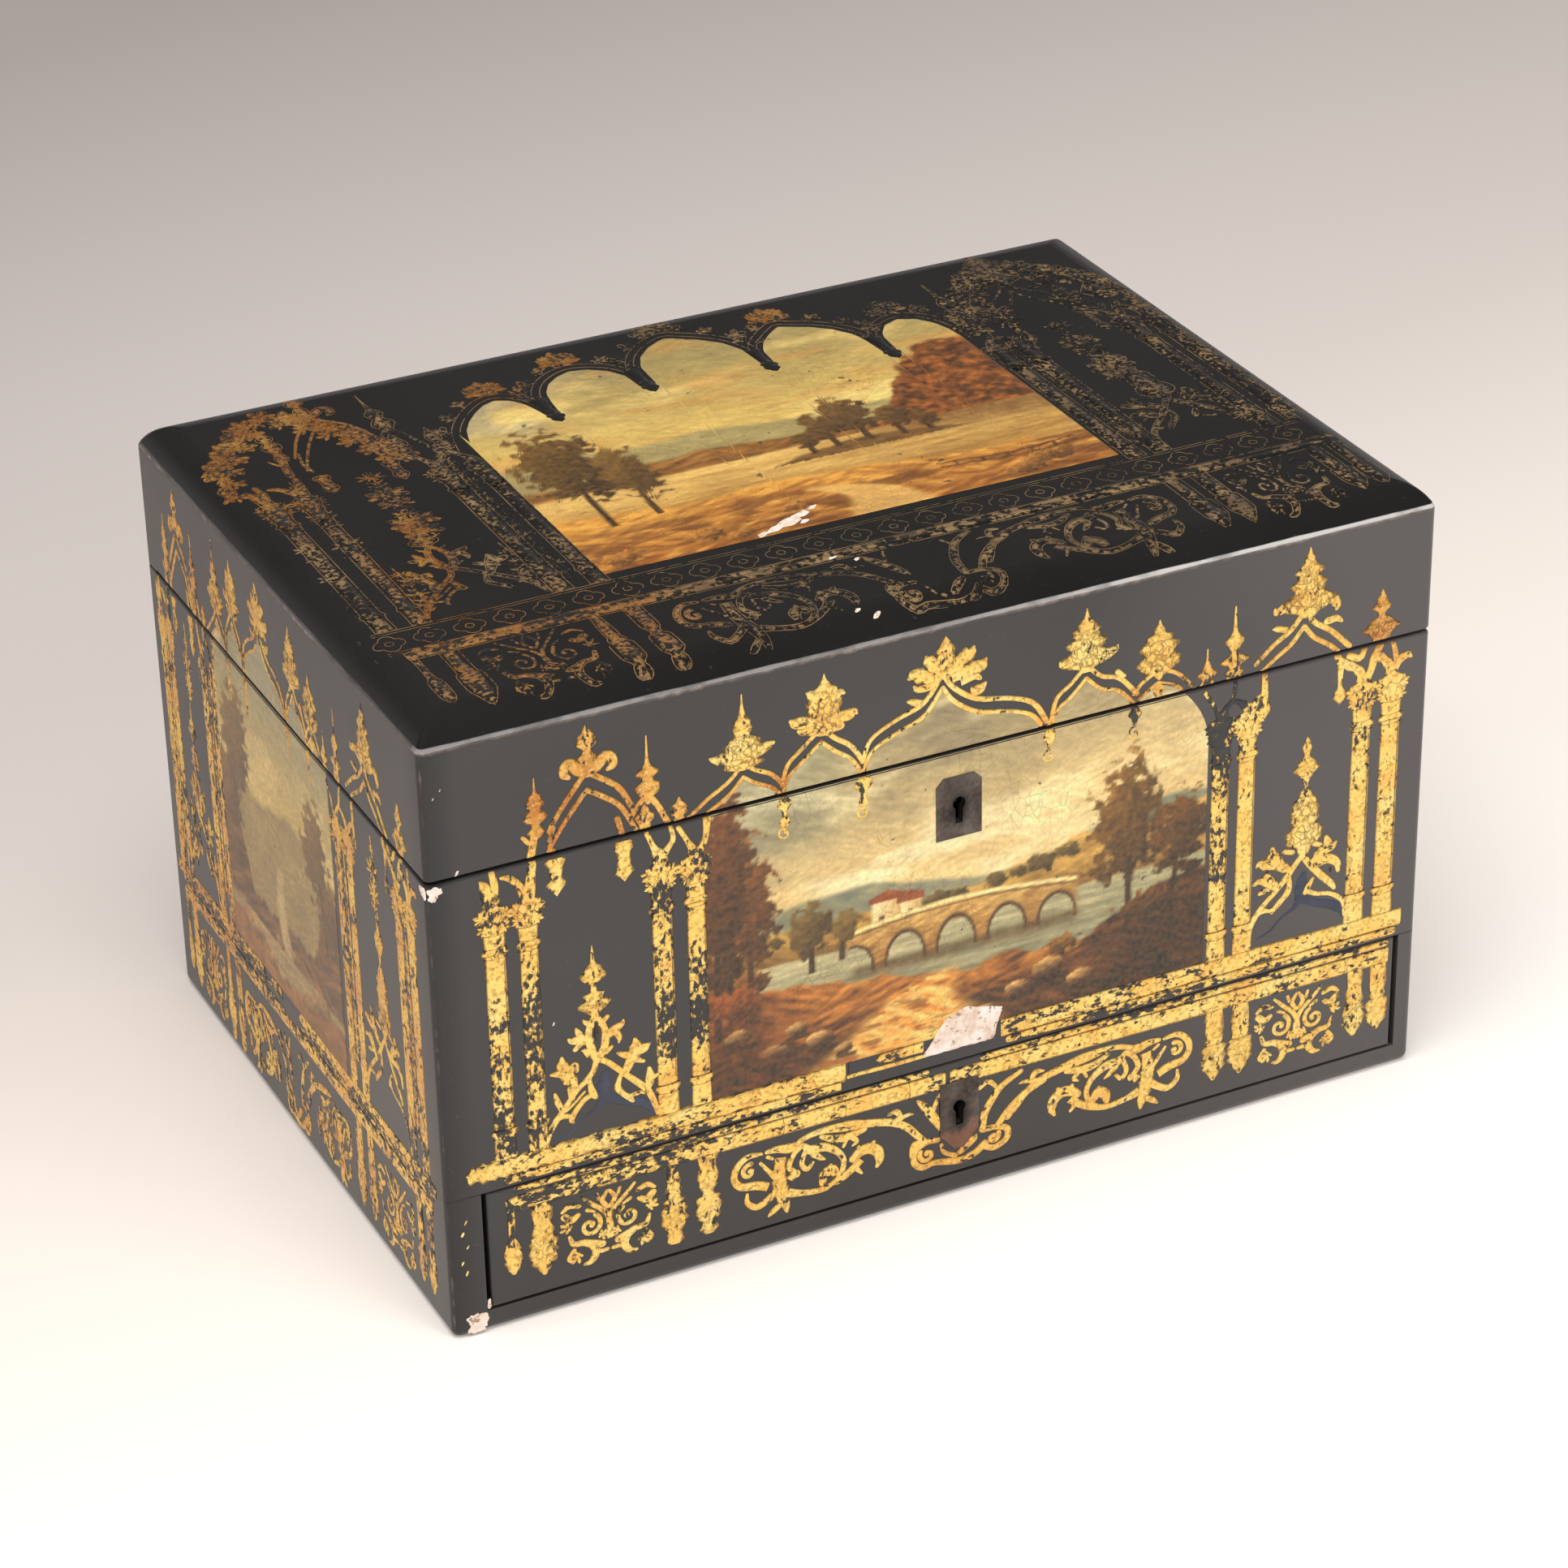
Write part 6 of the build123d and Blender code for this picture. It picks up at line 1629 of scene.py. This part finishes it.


# Hinges and screws: brass butt hinges, darker and paler in patches, and steel wood screws.
for name, light_tone, dark_tone in (("hinge_brass", (196, 160, 92), (120, 88, 44)),
                                    ("screw_steel", (150, 146, 140), (84, 78, 72))):
    material, surface, place = finish_of(name)
    rub = grain(place, 240, 3)
    drag = grain(place, 900, 3, (1, 12, 12))
    set_inputs(surface, Metallic=0.85,
               Base_Color=ramp(rub, (0.22, linear(*dark_tone)), (0.46, linear(*light_tone))),
               Roughness=ramp(drag, (0.3, 0.28), (0.7, 0.48)),
               Normal=bumped((drag, 0.15, 0.0001), (rub, 0.15, 0.0001)))
    dressed(name, material)


# Drawer box, floors and ledges: plain pine inside the box, planed, unpainted, gone brown and
# dusty, with growth rings along the length of each board.
material, surface, place = finish_of("old_pine")
sway = grain(place, 9, 2)
rings = node(place, "TexWave",
             {"Vector": node(place, "Mapping", {"Vector": place, "Scale": (0.05, 1, 1)}).outputs[0],
              "Scale": 95.0, "Distortion": 9.0, "Detail": 3.0, "Detail Scale": 0.35},
             bands_direction="DIAGONAL").outputs["Fac"]
fibre = grain(place, 900, 4, (0.03, 1, 1))
wood = mixed(ramp(rings, (0.35, 0.0), (0.95, 0.75)), linear(188, 150, 104), linear(150, 110, 70))
wood = mixed(ramp(fibre, (0.4, 0.0), (0.7, 0.6)), wood, linear(116, 84, 54))
wood = mixed(ramp(sway, (0.4, 0.0), (0.7, 0.4)), wood, linear(104, 82, 62))
set_inputs(surface, Base_Color=wood, Roughness=ramp(fibre, (0.3, 0.55), (0.7, 0.78)),
           Normal=bumped((fibre, 0.3, 0.0002), (rings, 0.1, 0.0002)))
dressed("bare_wood", material)


# Tray: thin wooden walls and partitions covered in dark red paper with a fine gilt diaper of
# dots, rubbed through to the wood along the top edges.
material, surface, place = finish_of("tray_paper")
across, along, height = node(place, "SeparateXYZ", {0: place}).outputs
fibre = grain(place, 520, 4)
red = ramp(grain(place, 24, 3), (0.35, linear(98, 26, 28)), (0.7, linear(128, 38, 36)))
red = mixed(times(fibre, 0.35), red, linear(66, 18, 20))
pitch = 0.0045
wall = plus(across, along)
dots = sums("SQRT", plus(*(sums("POWER", minus(sums("FRACT", sums("DIVIDE", v, pitch)), 0.5), 2.0)
                           for v in (plus(wall, height), minus(wall, height)))))
dots = times(sums("LESS_THAN", dots, 0.15), ramp(fibre, (0.4, 0.8), (0.6, 0.2)))
red = mixed(dots, red, linear(190, 140, 66))
rubbed = times(sums("GREATER_THAN", plus(height, times(fibre, 0.0011)), 0.1384), 0.7)
red = mixed(rubbed, red, linear(168, 128, 92))
set_inputs(surface, Base_Color=red, Roughness=ramp(fibre, (0.3, 0.6), (0.7, 0.8)),
           Normal=bumped((fibre, 0.25, 0.0001)))
dressed("tray_wood", material)


# Lid lining: a flat pad of wool under crimson silk, glued to the lid's underside, buttoned in a
# diamond pattern, with a twisted silk cord round its edge.
def arrays_of(thing):
    """Places and quads of an object with its modifiers, as arrays, and frees what was made."""
    shown = thing.evaluated_get(bpy.context.evaluated_depsgraph_get())
    made = bpy.data.meshes.new_from_object(shown)
    places = np.empty(len(made.vertices) * 3)
    made.vertices.foreach_get("co", places)
    corners = np.empty(len(made.loops), np.int64)
    made.loops.foreach_get("vertex_index", corners)
    bpy.data.meshes.remove(made)
    return places.reshape(-1, 3), corners.reshape(-1, 4)


def puffed(low, high, voxel, inset, reach):
    """A slab a little smaller than its space, remeshed to even cells, blown up as cloth, with how
    far a point moves capped at reach, then made finer once and kept inside its space."""
    small_low, small_high = low + inset, high - inset
    box = np.array([[x, y, z] for z in (small_low[2], small_high[2])
                    for y in (small_low[1], small_high[1]) for x in (small_low[0], small_high[0])])
    mesh = bpy.data.meshes.new("pad")
    mesh.from_pydata(box.tolist(), [], [(0, 2, 3, 1), (4, 5, 7, 6), (0, 1, 5, 4), (2, 6, 7, 3),
                                        (0, 4, 6, 2), (1, 3, 7, 5)])
    pad = bpy.data.objects.new("pad", mesh)
    bpy.context.scene.collection.objects.link(pad)
    pad.modifiers.new("even", "REMESH").voxel_size = voxel
    start, quads = arrays_of(pad)
    pad.modifiers.clear()
    mesh.clear_geometry()
    mesh.from_pydata(start.tolist(), [], quads.tolist())
    cloth = pad.modifiers.new("cloth", "CLOTH")
    cloth.settings.use_pressure = True
    cloth.settings.uniform_pressure_force = 4.0
    cloth.settings.effector_weights.gravity = 0
    cloth.point_cache.frame_start, cloth.point_cache.frame_end = 1, 20
    for moment in range(1, 21):
        bpy.context.scene.frame_set(moment)
    blown, _ = arrays_of(pad)
    pad.modifiers.clear()
    bpy.context.scene.frame_set(1)
    moved = blown - start
    moved *= np.minimum(1, reach / np.maximum(np.linalg.norm(moved, axis=1), 1e-9))[:, None]
    mesh.vertices.foreach_set("co", (start + moved).ravel())
    mesh.update()
    finer = pad.modifiers.new("finer", "SUBSURF")
    finer.levels = finer.render_levels = 1
    places, quads = arrays_of(pad)
    bpy.data.objects.remove(pad)
    bpy.data.meshes.remove(mesh)
    return np.clip(places, low, high), quads


def twisted_cord(path, radius, pitch, sides=10):
    """A closed cord of two strands: a tube whose section is a rounded figure of two lobes, turned
    once for each pitch along the path."""
    ahead = np.roll(path, -1, 0) - np.roll(path, 1, 0)
    ahead /= np.linalg.norm(ahead, axis=1)[:, None]
    out = np.cross(ahead, (0, 0, 1.0))
    run = run_along(path)
    whole = run[-1] + np.linalg.norm(path[0] - path[-1])
    turns = np.round(whole / pitch)
    angle = np.linspace(0, 2 * np.pi, sides, endpoint=False)
    twist = np.pi * turns * run[:, None] / whole
    swell = radius * (0.80 + 0.20 * np.cos(2 * (angle[None] - twist)))
    places = (path[:, None] + swell[..., None] * (np.cos(angle)[None, :, None] * out[:, None]
                                                  + np.sin(angle)[None, :, None] * (0, 0, 1)))
    i = np.arange(len(path))[:, None] * sides
    j = np.arange(sides)[None]
    nxt, far = (j + 1) % sides, (i + sides) % (len(path) * sides)
    quads = np.stack([i + j, far + j, far + nxt, i + nxt], -1).reshape(-1, 4)
    return places.reshape(-1, 3), quads


def round_rectangle(half_x, half_y, z, radius, step):
    """Points along a rectangle with round corners, evenly spaced, anticlockwise seen from above."""
    lines = []
    for cx, cy, start in ((1, 1, 0), (-1, 1, 90), (-1, -1, 180), (1, -1, 270)):
        turn = np.radians(start + np.linspace(0, 90, 9))
        lines.append(np.stack([cx * (half_x - radius) + radius * np.cos(turn),
                               cy * (half_y - radius) + radius * np.sin(turn)], 1))
    loop = np.vstack(lines)
    loop = np.vstack([loop, loop[:1]])
    run = run_along(loop)
    at = np.arange(0, run[-1] - step / 2, run[-1] / round(run[-1] / step))
    return np.stack([np.interp(at, run, loop[:, 0]), np.interp(at, run, loop[:, 1]),
                     np.full(len(at), z)], 1)


def cloth_finish(name, dark, light, weave, sheen, roughness):
    """Silk or velvet: fine threads both ways, paler where it catches the light, with a sheen."""
    material, surface, place = finish_of(name)
    thread = grain(place, weave, 2, (1, 6, 6))
    cross_thread = grain(place, weave, 2, (6, 1, 6))
    fold = grain(place, 30, 3)
    base = mixed(fold, linear(*dark), linear(*light))
    base = mixed(times(plus(thread, cross_thread), 0.28), base, linear(*(c * 0.6 for c in dark)))
    set_inputs(surface, Base_Color=base, Roughness=roughness, Sheen_Weight=sheen,
               Sheen_Roughness=0.35, Sheen_Tint=linear(*light),
               Normal=bumped((thread, 0.2, 0.0001), (cross_thread, 0.2, 0.0001),
                             (fold, 0.15, 0.0008)))
    return material


silk = cloth_finish("crimson_silk", (112, 18, 30), (150, 34, 44), 900, 0.35, 0.42)
low, high = (np.array(c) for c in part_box("lid_padding"))
places, quads = puffed(low, high, 0.004, 0.002, 0.003)
under = np.clip((high[2] - 0.0015 - places[:, 2]) / 0.003, 0, 1)
pitch_x, pitch_y = 0.0354, 0.0322
u, v = places[:, 0] / pitch_x, places[:, 1] / pitch_y
across_one, across_two = (np.abs((w + 0.5) % 1 - 0.5) for w in (u + v, u - v))
gap = np.minimum(across_one, across_two) * pitch_x * 0.68
margin = np.minimum(0.1375 - np.abs(places[:, 0]), 0.0925 - np.abs(places[:, 1]))
inside = np.clip(margin / 0.004, 0, 1)
knot = np.hypot(across_one, across_two) * pitch_x * 0.68
places[:, 2] += under * inside * (0.0024 * np.exp(-(gap / 0.0026) ** 2)
                                  + 0.0022 * np.exp(-(knot / 0.005) ** 2)
                                  - 0.0004 * np.sin(gap * 900) ** 2)
places[:, 2] = np.clip(places[:, 2], low[2], high[2])
lining = piece("lid_lining", places, quads, silk, "lid", "silk", ["lid_padding"])

grid = np.array([(i * pitch_x / 2, j * pitch_y / 2) for i in range(-7, 8)
                 for j in range(-5, 6) if (i + j) % 2 == 0])
grid = grid[(np.abs(grid[:, 0]) < 0.134) & (np.abs(grid[:, 1]) < 0.089)]
turn = np.linspace(0, 2 * np.pi, 10, endpoint=False)
rings = [(0.0, -0.0012), (0.0015, -0.0010), (0.0025, -0.0002), (0.0026, 0.0006), (0.0016, 0.0014),
         (0.0, 0.0014)]
dome = np.array([(r * np.cos(t), r * np.sin(t), z) for r, z in rings[1:-1] for t in turn]
                + [(0, 0, rings[0][1]), (0, 0, rings[-1][1])])
this, after = np.arange(10), (np.arange(10) + 1) % 10
band = np.arange(3)[:, None] * 10
dome_quads = np.stack([band + this, band + 10 + this, band + 10 + after, band + after],
                      -1).reshape(-1, 4)
tips = np.concatenate([np.stack([np.full(10, 40), this, after], 1),
                       np.stack([np.full(10, 41), 30 + after, 30 + this], 1)])
count = len(grid)
where = np.concatenate([grid, np.full((count, 1), low[2] + 0.0032)], 1)
shift = (np.arange(count) * len(dome))[:, None, None]
piece("lining_buttons", (where[:, None] + dome[None]).reshape(-1, 3),
      [(shift + dome_quads[None]).reshape(-1, 4), (shift + tips[None]).reshape(-1, 3)], silk, "lid",
      "silk")
path = round_rectangle(0.1402, 0.0949, low[2] + 0.0014, 0.004, 0.0008)
places, quads = twisted_cord(path, 0.0014, 0.0052)
piece("lining_cord", places, quads, silk, "lid", "silk")


# Pincushion: a bran-filled block under dark crimson velvet that fills the tray's middle cell,
# with a corded seam where its top meets the partitions.
velvet = cloth_finish("crimson_velvet", (78, 10, 22), (112, 22, 34), 1400, 0.8, 0.85)
low, high = (np.array(c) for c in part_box("pincushion"))
places, quads = puffed(low, high, 0.004, 0.003, 0.004)
middle, half = (low + high) / 2, (high - low) / 2
crown_x, crown_y = ((places[:, i] - middle[i]) / half[i] for i in (0, 1))
sink = 0.0080 * np.clip(np.abs(crown_x) ** 3 + np.abs(crown_y) ** 3, 0, 1.3) ** 0.85
upper = np.clip((places[:, 2] - middle[2]) / half[2], 0, 1)
places[:, 2] -= sink * upper**2
pucker = np.exp(-((places[:, 2] - 0.1352) / 0.0016) ** 2)
places[:, :2] = middle[:2] + (places[:, :2] - middle[:2]) * (1 - 0.012 * pucker[:, None])
cushion = piece("velvet_pincushion", np.clip(places, low, high), quads, velvet, "carcase", "velvet",
                ["pincushion"])
path = round_rectangle(half[0] - 0.0012, half[1] - 0.0012, 0.1370, 0.006, 0.0008)
places, quads = twisted_cord(path + (middle[0], middle[1], 0), 0.0011, 0.0044, 8)
piece("pincushion_cord", places, quads, velvet, "carcase", "velvet")


# Ribbon tabs: short ends of silk ribbon glued inside the tray's end walls, to lift it out by.
for side_name, sign in (("left", -1), ("right", 1)):
    across = np.linspace(-1, 1, 15)[None, :]
    upward = np.linspace(0, 1, 21)[:, None]
    bow = 0.00022 * np.sin(3 * across + 0.6 * sign) * upward**2
    y = 0.007 * across * (1 - 0.03 * upward**2)
    z = 0.1212 + 0.0198 * upward + 0.0001 * np.cos(2 * across) * upward
    sheet_front, sheet_back = (np.stack(np.broadcast_arrays(sign * (0.1370 + bow + off), y, z),
                                        -1).reshape(-1, 3) for off in (-0.00022, 0.00022))
    n = 15 * 21
    index = np.arange(n).reshape(21, 15)
    quads = np.stack([index[:-1, :-1], index[:-1, 1:], index[1:, 1:], index[1:, :-1]],
                     -1).reshape(-1, 4)
    loop = np.concatenate([index[0, :], index[1:, -1], index[-1, -2::-1], index[-2:0:-1, 0]])
    rim = np.stack([loop, loop + n, np.roll(loop, -1) + n, np.roll(loop, -1)], -1)
    faces = np.concatenate([quads, quads[:, ::-1] + n, rim])
    if sign > 0:
        faces = faces[:, ::-1]
    tab = piece(f"{side_name}_ribbon_tab", np.concatenate([sheet_front, sheet_back]), faces, silk,
                "carcase", "silk", ["tray_tabs"])
